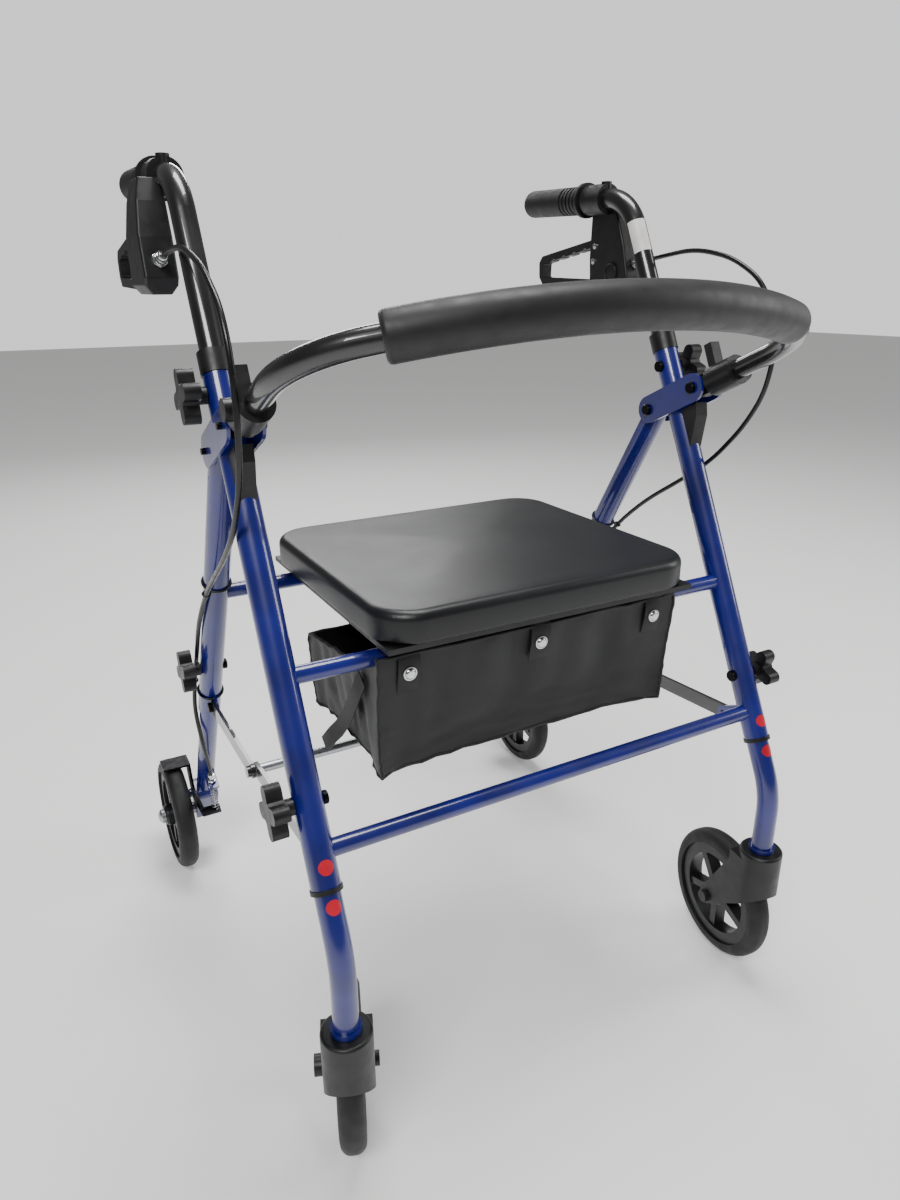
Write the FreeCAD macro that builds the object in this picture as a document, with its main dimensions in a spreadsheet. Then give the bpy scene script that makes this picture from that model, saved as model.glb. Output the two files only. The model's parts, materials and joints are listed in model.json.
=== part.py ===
import FreeCAD, Part
import math
import os
import Sketcher
from FreeCAD import Placement, Rotation, Vector

# Folding four-wheeled rollator walker.  Millimetres, +Z up, -Y is the direction of travel,
# +X is the user's left.  The origin is on the floor under the middle of the walker.

doc = FreeCAD.newDocument("rollator")
sheet = doc.addObject("Spreadsheet::Sheet", "Sizes")

# ---------------------------------------------------------------- driving dimensions
SIZES = (
    ("leg_spacing", 500, "left leg axis to right leg axis"),
    ("frame_tube_od", 26, "outside of the blue frame tubes"),
    ("frame_tube_wall", 1.2, "wall of the blue frame tubes"),
    ("inner_tube_wall", 1.5, "wall of the lower legs"),
    ("handle_tube_od", "=frame_tube_od - 2 * frame_tube_wall - 1.4", "outside of the handle tubes"),
    ("handle_tube_wall", 1.5, "wall of the handle tubes"),
    ("crossbar_od", 16, "outside of the three cross tubes"),
    ("front_bend_y", -285, "bend of the front legs, along Y"),
    ("front_bend_height", 247.5, "bend of the front legs above the floor"),
    ("front_lean", 25.86, "front legs from the vertical, degrees"),
    ("front_bend_radius", 110, "centre line radius of the lower leg's bend"),
    ("front_tube_start", 63, "lower end of the front tube, along the leg from the bend"),
    ("front_tube_length", 438, "length of the front tube"),
    ("lower_bar_place", 92, "lower crossbar, along the leg from the bend"),
    ("seat_bar_place", 238.6, "front seat bar, along the leg from the bend"),
    ("leg_knob_place", 134, "front height knob, along the leg from the bend"),
    ("handle_knob_place", 484, "handle height knob, along the leg from the bend"),
    ("sleeve_wall", 1, "plastic sleeves, outside the tube they cap"),
    ("collar_height", 20, "sleeve under the handle tube"),
    ("ring_height", 4, "sleeve over the lower leg"),
    ("tube_overlap", 15, "lower leg left beyond its clamp slot"),
    ("leg_travel", 100, "how far each lower leg slides out"),
    ("clamp_end_room", 16, "tube left beyond the end of a clamp slot"),
    ("handle_rise", 100, "how far the handle slides up"),
    ("handle_drop", 15, "how far the handle slides down"),
    ("pivot_behind", "=frame_tube_od * 1.223", "rear leg pivot behind the front leg's axis"),
    ("pivot_place", 445.6, "rear leg pivot, along the front leg from the bend"),
    ("plate_span", 72.1, "between the two bolts of a pivot plate"),
    ("plate_tilt", 25.1, "pivot plates rise towards the front, degrees"),
    ("plate_width", 30, "width of the pivot plates"),
    ("plate_thickness", 3, "thickness of the pivot plates"),
    ("rear_lean", 30, "rear legs from the vertical, degrees"),
    ("rear_tube_length", 399, "rear tube, from its pivot to its lower end"),
    ("rear_top_end", "=frame_tube_od / 2", "rear tube above its pivot"),
    ("rear_bar_place", 189.4, "rear seat bar, down the leg from the pivot"),
    ("rear_knob_place", 316, "rear height knob, down the leg from the pivot"),
    ("cable_stop_place", 530.5, "cable stop, down the rear leg from the pivot"),
    ("shoe_gap", 3, "gap between the brake shoe and the tyre"),
    ("shoe_angle", 26.2, "shoe direction from the axle, measured from the leg"),
    ("front_tab_reach", "=frame_tube_od / 2 + 21", "front brace pivot behind the leg's axis"),
    ("rear_tab_reach", "=frame_tube_od / 2 + 9.5", "rear brace pivot in front of the leg's axis"),
    ("rear_tab_place", 366, "rear brace pivot, down the leg from its pivot"),
    ("brace_width", 16, "width of the brace bars"),
    ("brace_thickness", 4, "thickness of the brace bars"),
    ("brace_sag", 5, "middle brace pivot under the line of the outer two"),
    ("brace_offset", 0.5, "each brace bar beside the leg's middle plane"),
    ("rod_od", 10, "cross rod between the left and right braces"),
    ("bolt_od", 6, "all through bolts"),
    ("bolt_head_od", 12, "heads of the through bolts"),
    ("bolt_head_height", 4, "heads of the through bolts"),
    ("clamp_bolt_end", 8, "clamp bolt inside its knob, past the stem"),
    ("pin_clearance", 0.1, "radial play of every pivot and bearing"),
    ("slide_clearance", 0.3, "play beside sliding and folding pieces"),
    ("slot_play", 0.5, "extra length at each end of a clamp slot"),
    ("inner_tube_od", "=frame_tube_od - 2 * frame_tube_wall - 2 * slide_clearance",
     "outside of the lower legs"),
    ("knob_span", 47, "across two opposite arms of a star knob"),
    ("knob_arms", 4, "arms of a star knob"),
    ("knob_turn", 20, "first arm of a star knob, degrees"),
    ("knob_arm_width", 14, "width of a star knob's arm"),
    ("knob_thickness", 14, "thickness of a star knob's arms"),
    ("knob_stem_od", 15, "stem of a star knob"),
    ("knob_stem_length", 8, "stem of a star knob"),
    ("wheel_od", 152, "all four wheels"),
    ("tyre_height", 15, "tyre, from rim to tread"),
    ("tyre_width", 25, "tyre width"),
    ("tread_roundness", 0.42, "tread radius, as a share of the tyre's width"),
    ("rim_band", 13, "depth of the rim under the tyre"),
    ("rim_width", 19, "width of the rim"),
    ("hub_od", 30, "wheel hub"),
    ("hub_width", 27, "wheel hub"),
    ("spoke_count", 5, "spokes of a wheel"),
    ("spoke_width", 9, "thickness of a spoke round the wheel"),
    ("spoke_depth", 15, "width of a spoke along the axle"),
    ("axle_od", 8, "wheel axles"),
    ("axle_cap_od", 20, "cap on the outer end of a caster axle"),
    ("axle_cap_height", 11, "cap on the outer end of a caster axle"),
    ("axle_nut_od", 14, "nut on the inner end of an axle"),
    ("axle_nut_height", 5, "nut on the inner end of an axle"),
    ("bracket_wall", 2.5, "rear axle bracket round the lower leg"),
    ("bracket_depth", 34, "rear axle bracket, front to back"),
    ("bracket_above", 58, "rear axle bracket above the axle"),
    ("bracket_below", 8, "rear axle bracket below the axle"),
    ("bracket_corner", 9, "rounded edges of the rear axle bracket"),
    ("brake_pivot_above", 45, "brake arm's pivot above the rear axle, along the leg"),
    ("hub_gap", 0.5, "play at each side of a rear hub"),
    ("hub_nut_od", 20, "nut outside a rear hub"),
    ("hub_nut_height", 8, "nut outside a rear hub"),
    ("hub_collar_od", 16, "spacer between the bracket and the rear hub"),
    ("rear_wheel_out", 36.5, "rear wheel's middle outside the leg's axis"),
    ("fork_width", 46, "caster fork"),
    ("fork_gap", 28, "slot for the wheel in the caster fork"),
    ("tyre_room", 3.5, "between the tyre and the fork's wheel slot"),
    ("fork_trail", "=wheel_od / 2 - 22", "caster axle behind its swivel axis"),
    ("fork_top", "=wheel_od * 0.75 + 61", "top of the caster fork above the floor"),
    ("fork_boss_od", 20, "round end of each fork cheek, at the axle"),
    ("foot_gap", 0.5, "lower leg's foot above the fork"),
    ("foot_flange_width", 2.5, "flange on the lower leg's foot"),
    ("foot_flange_height", 5, "flange on the lower leg's foot"),
    ("stem_od", 10, "steel swivel stem of the caster"),
    ("stem_length", 38, "swivel stem below the leg"),
    ("caster_left_turn", 7.3, "left caster as it stands, degrees"),
    ("caster_right_turn", 21.1, "right caster as it stands, degrees"),
    ("handle_corner_height", 860, "where the handle's two straight lines meet"),
    ("handle_bend_radius", 58, "centre line radius of the handle's bend"),
    ("handle_reach", 190, "handle from its corner to its end"),
    ("handle_rise_angle", 2, "grip line above the horizontal, degrees"),
    ("grip_od", 32, "grip"),
    ("grip_flange_od", 39, "front flange of the grip"),
    ("grip_length", 120, "grip"),
    ("clamp_od", 33, "clamp ring of the brake housing"),
    ("clamp_length", 34, "clamp ring of the brake housing"),
    ("housing_inset", 5, "inner face of the housing outside the handle's axis"),
    ("housing_width", 30, "brake housing"),
    ("lever_width", 13, "brake lever"),
    ("backrest_tube_od", 20, "backrest tube"),
    ("backrest_reach", 211, "backrest's middle from its pivot bolt"),
    ("backrest_arc_radius", 454, "backrest's long arc"),
    ("backrest_tube_start", 18, "tube end in its bracket, from the backrest pivot"),
    ("pad_inset", 57.2, "pad end, inside the leg's axis"),
    ("button_reach", 39.6, "release button, from the backrest pivot"),
    ("grip_start", 75.5, "front of the grip, from the handle's corner"),
    ("clamp_start", 37, "front of the clamp ring, from the handle's corner"),
    ("bag_behind_bar", 52, "front of the bag, behind the lower crossbar"),
    ("bag_above_bar", 14.7, "bottom of the bag, above the lower crossbar"),
    ("bag_corner", 25, "corner radius of the bag"),
    ("backrest_bend_radius", 84, "backrest's two corners"),
    ("pad_od", 36, "foam backrest pad"),
    ("socket_od", 31, "socket that holds the backrest tube"),
    ("button_od", 18, "backrest release button"),
    ("button_travel", 3, "backrest release button"),
    ("seat_width", 346, "seat across"),
    ("seat_depth", 310, "seat front to back"),
    ("seat_overhang", 42, "seat in front of the front bar's axis"),
    ("seat_base_thickness", 5, "hard seat base"),
    ("seat_cushion_thickness", 30, "padded seat"),
    ("seat_corner", 42, "seat's corner radius"),
    ("clip_width", 42, "seat clip on the front bar"),
    ("clip_spacing", 210, "between the two seat clips"),
    ("bag_width", 340, "storage bag across"),
    ("bag_depth", 180, "storage bag front to back"),
    ("bag_front_height", 104, "front wall of the bag"),
    ("bag_rear_height", 80, "rear wall of the bag"),
    ("bag_wall", 3, "cloth of the bag with its lining"),
    ("cable_od", 5, "brake cable housing"),
)


def fill_sheet():
    for row, (alias, value, note) in enumerate(SIZES, start=1):
        sheet.set("A%d" % row, note)
        sheet.set("B%d" % row, str(value))
        sheet.setAlias("B%d" % row, alias)
    doc.recompute()


def size(alias):
    return float(sheet.get(alias))


fill_sheet()
PARTS = []

# ---------------------------------------------------------------- layout worked out from the sheet
HALF = size("leg_spacing") / 2
AXIS_X = Rotation(Vector(0, 1, 0), 90)
LEFT = 1
RIGHT = -1
SIDES = (("left", LEFT), ("right", RIGHT))


def front_leg(side):
    """Frame with Z up the front leg from its bend, Y square to it towards the back."""
    base = Vector(side * HALF, size("front_bend_y"), size("front_bend_height"))
    return Placement(base, Rotation(Vector(1, 0, 0), -size("front_lean")))


def rear_leg(side):
    """Frame with Z down the rear leg from its pivot, Y square to it towards the front."""
    base = front_leg(side).multVec(Vector(0, size("pivot_behind"), size("pivot_place")))
    return Placement(base, Rotation(Vector(1, 0, 0), size("rear_lean") - 180))


def rear_axle_place():
    """Rear axle, down the leg from the pivot, so that the wheel stands on the floor."""
    return (rear_leg(LEFT).Base.z - size("wheel_od") / 2) / math.cos(math.radians(size("rear_lean")))


def plate_line(side):
    """Frame with Z from the rear leg pivot to the backrest pivot, up and to the front."""
    return Placement(rear_leg(side).Base, Rotation(Vector(1, 0, 0), 90 - size("plate_tilt")))


def caster_frame(side):
    """Frame on the floor under the swivel axis, Y along the trail."""
    turn = size("caster_left_turn") if side == LEFT else size("caster_right_turn")
    return Placement(Vector(side * HALF, size("front_bend_y"), 0), Rotation(Vector(0, 0, 1), -turn))


def handle_frame(side):
    """Frame with Z along the grip from the handle's corner."""
    rise = (size("handle_corner_height") - size("front_bend_height")) / math.cos(math.radians(size("front_lean")))
    corner = front_leg(side).multVec(Vector(0, 0, rise))
    return Placement(corner, Rotation(Vector(1, 0, 0), size("handle_rise_angle") - 90))


def spot(frame, x, y, z, turn=None):
    """A placement at a point of a frame, turned within it."""
    return frame.multiply(Placement(Vector(x, y, z), turn or Rotation()))


FRONT_BRACE_PIVOT = front_leg(LEFT).multVec(Vector(0, size("front_tab_reach"), size("lower_bar_place")))
REAR_BRACE_PIVOT = rear_leg(LEFT).multVec(Vector(0, size("rear_tab_reach"), size("rear_tab_place")))
BRACE_SPAN = (REAR_BRACE_PIVOT - FRONT_BRACE_PIVOT).Length
BRACE_LENGTH = math.hypot(BRACE_SPAN / 2, size("brace_sag"))
BRACE_LINE = (REAR_BRACE_PIVOT - FRONT_BRACE_PIVOT).normalize()
BRACE_DOWN = Vector(0, BRACE_LINE.z, -BRACE_LINE.y)
MIDDLE_BRACE_PIVOT = (FRONT_BRACE_PIVOT + REAR_BRACE_PIVOT) / 2 + BRACE_DOWN * size("brace_sag")


# ---------------------------------------------------------------- small helpers
def bind(obj, **expressions):
    for name, expression in expressions.items():
        obj.setExpression(name, expression)
    return obj


def rod(name, radius, height, place):
    """A cylinder along the Z axis of its placement; sizes are expressions."""
    obj = doc.addObject("Part::Cylinder", name)
    bind(obj, Radius=radius, Height=height)
    obj.Placement = place
    return obj


def slab(name, length, width, height, centre):
    """A box centred on its placement; sizes are expressions."""
    obj = doc.addObject("Part::Box", name)
    bind(obj, Length=length, Width=width, Height=height)
    doc.recompute()
    half = Vector(-obj.Length.Value / 2, -obj.Width.Value / 2, -obj.Height.Value / 2)
    obj.Placement = centre.multiply(Placement(half, Rotation()))
    return obj


def fuse(name, *pieces):
    obj = doc.addObject("Part::MultiFuse", name)
    obj.Shapes = list(pieces)
    return obj


def cut(name, base, *tools):
    tool = tools[0] if len(tools) == 1 else fuse(name + "_cutters", *tools)
    obj = doc.addObject("Part::Cut", name)
    obj.Base = base
    obj.Tool = tool
    return obj


def mirrored(name, source):
    """The right-hand piece, across the middle plane."""
    obj = doc.addObject("Part::Mirroring", name)
    obj.Source = source
    obj.Normal = Vector(1, 0, 0)
    return obj


def solid(name, shape, place=None):
    """A piece whose shape comes from Part's functions."""
    obj = doc.addObject("Part::Feature", name)
    obj.Shape = shape
    if place is not None:
        obj.Placement = place
    return obj


def keep(obj, label):
    """Marks an object as a sub-part of the walker."""
    obj.Label = label
    PARTS.append(obj)
    return obj


def group(name, objects):
    """Separate solids that share one node."""
    doc.recompute()
    return solid(name, Part.makeCompound([obj.Shape for obj in objects]))


def pair(label, left):
    """A left piece and its mirror image, each a node."""
    keep(left, label + "_left")
    return keep(mirrored(label + "_right", left), label + "_right")


def plane_of(body, role):
    return next(f for f in body.Origin.OriginFeatures if f.Role == role)


def new_sketch(body, name, role="XY_Plane"):
    sketch = body.newObject("Sketcher::SketchObject", name)
    sketch.AttachmentSupport = [(plane_of(body, role), "")]
    sketch.MapMode = "FlatFace"
    return sketch


def circle_in(sketch, radius, name):
    """A circle about the sketch's origin, its radius an expression."""
    index = sketch.addGeometry(Part.Circle(Vector(0, 0, 0), Vector(0, 0, 1), 1), False)
    sketch.addConstraint(Sketcher.Constraint("Coincident", index, 3, -1, 1))
    constraint = sketch.addConstraint(Sketcher.Constraint("Radius", index, 1))
    sketch.renameConstraint(constraint, name)
    sketch.setExpression("Constraints." + name, radius)
    return index


def slot_in(sketch, length, width):
    """A slot outline from the sketch's origin along X; length and width are expressions."""
    span, r = 50, 5
    start = Part.ArcOfCircle(Part.Circle(Vector(0, 0, 0), Vector(0, 0, 1), r), math.pi / 2, 3 * math.pi / 2)
    end = Part.ArcOfCircle(Part.Circle(Vector(span, 0, 0), Vector(0, 0, 1), r), -math.pi / 2, math.pi / 2)
    low = Part.LineSegment(Vector(0, -r, 0), Vector(span, -r, 0))
    high = Part.LineSegment(Vector(span, r, 0), Vector(0, r, 0))
    a, b, c, d = sketch.addGeometry([start, low, end, high], False)
    sketch.addConstraint([
        Sketcher.Constraint("Coincident", a, 3, -1, 1),
        Sketcher.Constraint("PointOnObject", c, 3, -1),
        Sketcher.Constraint("Tangent", a, 2, b, 1),
        Sketcher.Constraint("Tangent", b, 2, c, 1),
        Sketcher.Constraint("Tangent", c, 2, d, 1),
        Sketcher.Constraint("Tangent", d, 2, a, 1),
        Sketcher.Constraint("Equal", a, c),
    ])
    ray = sketch.addConstraint(Sketcher.Constraint("Radius", a, r))
    reach = sketch.addConstraint(Sketcher.Constraint("DistanceX", a, 3, c, 3, span))
    sketch.renameConstraint(ray, "end_radius")
    sketch.renameConstraint(reach, "span")
    sketch.setExpression("Constraints.end_radius", "(%s) / 2" % width)
    sketch.setExpression("Constraints.span", length)
    return a, c


def outline_in(sketch, points):
    """A closed outline of straight lines; each point is a pair of expressions."""
    corners = [Vector(value_of(across), value_of(up), 0) for across, up in points]
    count = len(points)
    lines = [Part.LineSegment(corners[i], corners[(i + 1) % count]) for i in range(count)]
    first = sketch.addGeometry(lines, False)[0]
    for i in range(count):
        following = first + (i + 1) % count
        sketch.addConstraint(Sketcher.Constraint("Coincident", first + i, 2, following, 1))
    for i, (across, up) in enumerate(points):
        for kind, expression, value in (("DistanceX", across, corners[i].x),
                                        ("DistanceY", up, corners[i].y)):
            index = sketch.addConstraint(Sketcher.Constraint(kind, -1, 1, first + i, 1, value))
            name = "%s_%d" % (kind[-1].lower(), i)
            sketch.renameConstraint(index, name)
            sketch.setExpression("Constraints." + name, expression)


def value_of(expression):
    """The number that an expression gives now."""
    return float(sheet.evalExpression(expression.replace("Sizes.", "")))


def pad(body, sketch, length, name, both_ways=False):
    feature = body.newObject("PartDesign::Pad", name)
    feature.Profile = sketch
    feature.Midplane = both_ways
    feature.setExpression("Length", length)
    doc.recompute()
    return feature


def pocket(body, sketch, name, length=None, backwards=False):
    """Cuts through everything both ways, or a stated depth."""
    feature = body.newObject("PartDesign::Pocket", name)
    feature.Profile = sketch
    if length is None:
        feature.Type = "ThroughAll"
        feature.Midplane = True
    else:
        feature.setExpression("Length", length)
        feature.Reversed = backwards
    doc.recompute()
    return feature


def body_at(name, place):
    body = doc.addObject("PartDesign::Body", name)
    body.Placement = place
    return body


def copy_of(name, source, place):
    doc.recompute()
    shape = source.Shape.copy()
    shape.Placement = Placement()
    return solid(name, shape, place)


def rounded_path(points, radii):
    """Straight runs joined by tangent arcs, one radius for each inner point."""
    edges = []
    start = points[0]
    for before, corner, after, radius in zip(points, points[1:], points[2:], radii):
        back = (before - corner).normalize()
        ahead = (after - corner).normalize()
        half_turn = (math.pi - back.getAngle(ahead)) / 2
        setback = radius * math.tan(half_turn)
        enter = corner + back * setback
        leave = corner + ahead * setback
        inward = (back + ahead).normalize()
        middle = corner + inward * (radius / math.cos(half_turn) - radius)
        edges.append(Part.LineSegment(start, enter).toShape())
        edges.append(Part.Arc(enter, middle, leave).toShape())
        start = leave
    edges.append(Part.LineSegment(start, points[-1]).toShape())
    return Part.Wire(edges)


def swept(path, diameter):
    """A round bar along a path."""
    start = path.Edges[0]
    first = start.valueAt(start.FirstParameter)
    ahead = start.tangentAt(start.FirstParameter)
    ring = Part.Wire([Part.makeCircle(diameter / 2, first, ahead)])
    return path.makePipeShell([ring], True, True)


def across_plate(centre, outline, width):
    """A plate across X with an outline of (back, up) distances from its centre."""
    points = [centre + Vector(0, back, up) for back, up in outline + outline[:1]]
    return Part.Face(Part.makePolygon(points)).extrude(Vector(width, 0, 0))


def along_x(edge):
    return abs(edge.tangentAt(edge.FirstParameter).x) > 0.9


def hollow(path, diameter, wall):
    return swept(path, diameter).cut(swept(path, diameter - 2 * wall))


# ---------------------------------------------------------------- front frame
def front_tube():
    """Outer front leg: a tube with a brace tab behind it and holes for its two clamp bolts."""
    leg = front_leg(LEFT)
    start = size("front_tube_start")
    outside = rod("front_tube_outside", "Sizes.frame_tube_od / 2", "Sizes.front_tube_length",
                  spot(leg, 0, 0, start))
    bore = rod("front_tube_bore", "Sizes.frame_tube_od / 2 - Sizes.frame_tube_wall",
               "Sizes.front_tube_length + 2", spot(leg, 0, 0, start - 1))
    inset = tab_inset(front_link_outset())
    tab = slab("front_tab_arm", "Sizes.plate_thickness", "Sizes.front_tab_reach", "Sizes.brace_width",
               spot(leg, inset, size("front_tab_reach") / 2, size("lower_bar_place")))
    tip = rod("front_tab_tip", "Sizes.brace_width / 2", "Sizes.plate_thickness",
              spot(leg, inset - size("plate_thickness") / 2, size("front_tab_reach"),
                   size("lower_bar_place"), AXIS_X))
    shape = fuse("front_tube_body", outside, tab, tip)
    holes = [clamp_hole("front_hole_%s" % name, leg, size(name), "Sizes.bolt_od / 2")
             for name in ("leg_knob_place", "handle_knob_place")]
    pin_hole = rod("front_tab_hole", "Sizes.bolt_od / 2", "Sizes.frame_tube_od",
                   spot(leg, inset - size("frame_tube_od") / 2, size("front_tab_reach"),
                        size("lower_bar_place"), AXIS_X))
    pair("front_leg_tube", cut("front_tube", shape, bore, pin_hole, *holes))


def clamp_hole(name, leg, place, radius):
    return rod(name, radius, "Sizes.frame_tube_od * 2", spot(leg, -size("frame_tube_od"), 0, place, AXIS_X))


def front_link_outset():
    """Middle of the front brace bar, outside the leg's axis: the inner bar of the two."""
    return -(size("brace_thickness") / 2 + size("brace_offset"))


def rear_link_outset():
    return size("brace_thickness") / 2 + size("brace_offset")


def tab_inset(link_outset):
    """Middle of a tab that stands inside its brace bar."""
    return link_outset - size("brace_thickness") / 2 - size("slide_clearance") - size("plate_thickness") / 2


def crossbar(name, leg_left, along, cutters):
    """A hollow tube between the legs, its ends coped to them."""
    centre = leg_left.multVec(Vector(0, 0, along))
    place = Placement(Vector(-HALF, centre.y, centre.z), AXIS_X)
    bar = rod(name + "_bar", "Sizes.crossbar_od / 2", "Sizes.leg_spacing", place)
    bore = rod(name + "_bore", "Sizes.crossbar_od / 2 - Sizes.frame_tube_wall", "Sizes.leg_spacing", place)
    return cut(name, bar, bore, *cutters)


def leg_cutters(name, frame_of):
    """The outsides of the two legs, which the ends of a crossbar are coped to."""
    return [rod("%s_%s" % (name, word), "Sizes.frame_tube_od / 2", "Sizes.front_tube_length * 2",
                spot(frame_of(side), 0, 0, -size("front_tube_length") / 2)) for word, side in SIDES]


def crossbars():
    seat_bar, low_bar = [crossbar(name, front_leg(LEFT), size(place),
                                  leg_cutters(name + "_cope", front_leg))
                         for name, place in (("seat_bar", "seat_bar_place"),
                                             ("low_bar", "lower_bar_place"))]
    keep(group("front_crossbars", [seat_bar, low_bar]), "front_crossbars")
    rear_cutters = leg_cutters("rear_bar_cope", rear_leg)
    keep(crossbar("rear_bar", rear_leg(LEFT), size("rear_bar_place"), rear_cutters), "seat_rear_crossbar")


def pivot_plates():
    """Four slotted plates that carry the rear leg pivot and the backrest pivot."""
    body = body_at("pivot_plate", Placement())
    outline = new_sketch(body, "plate_outline")
    slot_in(outline, "Sizes.plate_span", "Sizes.plate_width")
    pad(body, outline, "Sizes.plate_thickness", "plate_pad", both_ways=True)
    near = new_sketch(body, "plate_near_hole")
    circle_in(near, "Sizes.bolt_od / 2", "hole")
    pocket(body, near, "plate_near_cut")
    far = rod("plate_far_hole", "Sizes.bolt_od / 2", "Sizes.plate_thickness * 4",
              Placement(Vector(size("plate_span"), 0, -size("plate_thickness") * 2), Rotation()))
    plate = cut("drilled_plate", body, far)
    # The plate's own X runs along the bolt line and its Z across the walker.
    turn = Rotation(Vector(0, 0, 1), Vector(0, 1, 0), Vector(1, 0, 0), "ZXY")
    outset = size("frame_tube_od") / 2 + size("plate_thickness") / 2
    plates = [copy_of("plate_%s_%s" % (word, name), plate,
                      spot(plate_line(side), edge * outset, 0, 0, turn))
              for word, side in SIDES for name, edge in (("right", -1), ("left", 1))]
    keep(group("leg_pivot_plates", plates), "leg_pivot_plates")


BOLT_CHAMFER = 0.8


def through_bolt(name, frame, up, along, inner, outer, side, head_outside=False):
    """A bolt along X between two distances outside the leg's axis, with a head at one end."""
    length = outer - inner
    centre = frame.multVec(Vector(0, up, along))
    place = Placement(Vector(centre.x + side * inner, centre.y, centre.z),
                      Rotation(Vector(0, 1, 0), 90 * side))
    shank = Part.makeCylinder(size("bolt_od") / 2, length)
    start = length if head_outside else -size("bolt_head_height")
    head = Part.makeCylinder(size("bolt_head_od") / 2, size("bolt_head_height"), Vector(0, 0, start))
    head = head.makeChamfer(BOLT_CHAMFER, [head.Edges[0 if head_outside else 2]])
    return solid(name, shank.fuse(head).removeSplitter(), place)


def front_bolts():
    """Pivot, backrest, brace and clamp bolts that stay with the front frame."""
    cheek = size("frame_tube_od") / 2 + size("plate_thickness")
    wall = size("frame_tube_od") / 2
    cap = size("bolt_head_height")
    bolts = []
    for word, side in SIDES:
        leg, line = front_leg(side), plate_line(side)
        bolts.append(through_bolt("rear_pivot_bolt_" + word, line, 0, 0, -cheek, cheek + cap, side))
        bolts.append(through_bolt("backrest_bolt_" + word, line, 0, size("plate_span"), -cheek,
                                  cheek + cap, side))
        link = front_link_outset()
        inner = link - size("brace_thickness") / 2 - size("slide_clearance") - size("plate_thickness")
        outer = link + size("brace_thickness") / 2 + size("slide_clearance")
        bolts.append(through_bolt("front_brace_bolt_" + word, leg, size("front_tab_reach"),
                                  size("lower_bar_place"), inner, outer, side, head_outside=True))
        for name in ("leg_knob_place", "handle_knob_place"):
            bolts.append(through_bolt("clamp_bolt_%s_%s" % (name, word), leg, 0, size(name), -wall,
                                      wall + size("knob_stem_length") + size("clamp_bolt_end"), side))
    keep(group("front_frame_bolts", bolts), "front_frame_bolts")


# Side outline of the stop that the backrest bracket's tab meets: (in front of the tube's
# surface, below the rear leg pivot).
STOP_SIDE = [(-2, 57.6), (-2, 15.6), (21, 15.6), (17, 29.6)]
STOP_WIDTH = 16


def tube_sleeves():
    """Plastic sleeves on the open ends of the two front tubes, and the two backrest stops."""
    pieces = []
    radius = size("frame_tube_od") / 2
    top = size("front_tube_start") + size("front_tube_length")
    for word, side in SIDES:
        leg = front_leg(side)
        for name, start, height, bore in (
                ("collar", top, size("collar_height"), size("handle_tube_od")),
                ("ring", size("front_tube_start") - size("ring_height"), size("ring_height"),
                 size("inner_tube_od"))):
            outside = Part.makeCylinder(radius + size("sleeve_wall"), height)
            inside = Part.makeCylinder(bore / 2 + size("slide_clearance"), height)
            pieces.append(solid("%s_%s" % (name, word), outside.cut(inside), spot(leg, 0, 0, start)))
        points = [Vector(-STOP_WIDTH / 2, -radius - ahead, size("pivot_place") - below)
                  for ahead, below in STOP_SIDE]
        stop = Part.Face(Part.makePolygon(points + points[:1])).extrude(Vector(STOP_WIDTH, 0, 0))
        pieces.append(solid("stop_" + word, stop.cut(Part.makeCylinder(radius, top)), leg))
    keep(group("tube_end_sleeves", pieces), "tube_end_sleeves")


# ---------------------------------------------------------------- telescoping front legs and casters
FORK_LIP_RADIUS = 3
FORK_COLLAR_HEIGHT = 10


def clamp_slot(leg, start, end):
    """A cutter across X that lets the clamp bolt pass while the tube slides."""
    width = size("bolt_od") + 2 * size("slide_clearance")
    box = Part.makeBox(size("frame_tube_od") * 2, width, end - start,
                       Vector(-size("frame_tube_od"), -width / 2, start))
    box.Placement = leg
    return box


def lower_front_leg(word, side):
    """Inner tube, bent to the vertical, with a flange and the caster's swivel stem."""
    leg = front_leg(side)
    bolt = size("leg_knob_place")
    top = leg.multVec(Vector(0, 0, bolt + size("leg_travel") + size("tube_overlap")))
    bend = leg.Base
    foot = Vector(bend.x, bend.y, size("fork_top") + size("foot_gap"))
    path = rounded_path([top, bend, foot], [size("front_bend_radius")])
    tube = hollow(path, size("inner_tube_od"), size("inner_tube_wall"))
    room = size("bolt_od") / 2 + size("slot_play")
    slot = clamp_slot(leg, bolt - room, bolt + size("leg_travel") + room)
    flange_radius = size("inner_tube_od") / 2 + size("foot_flange_width")
    flange = Part.makeCylinder(flange_radius, size("foot_flange_height"), foot)
    stem_end = foot - Vector(0, 0, size("stem_length"))
    stem = Part.makeCylinder(size("stem_od") / 2, size("stem_length") + size("foot_flange_height"),
                             stem_end)
    shape = tube.fuse([flange, stem]).cut(slot).removeSplitter()
    keep(solid("front_lower_tube_" + word, shape), "front_lower_tube_" + word)


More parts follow.
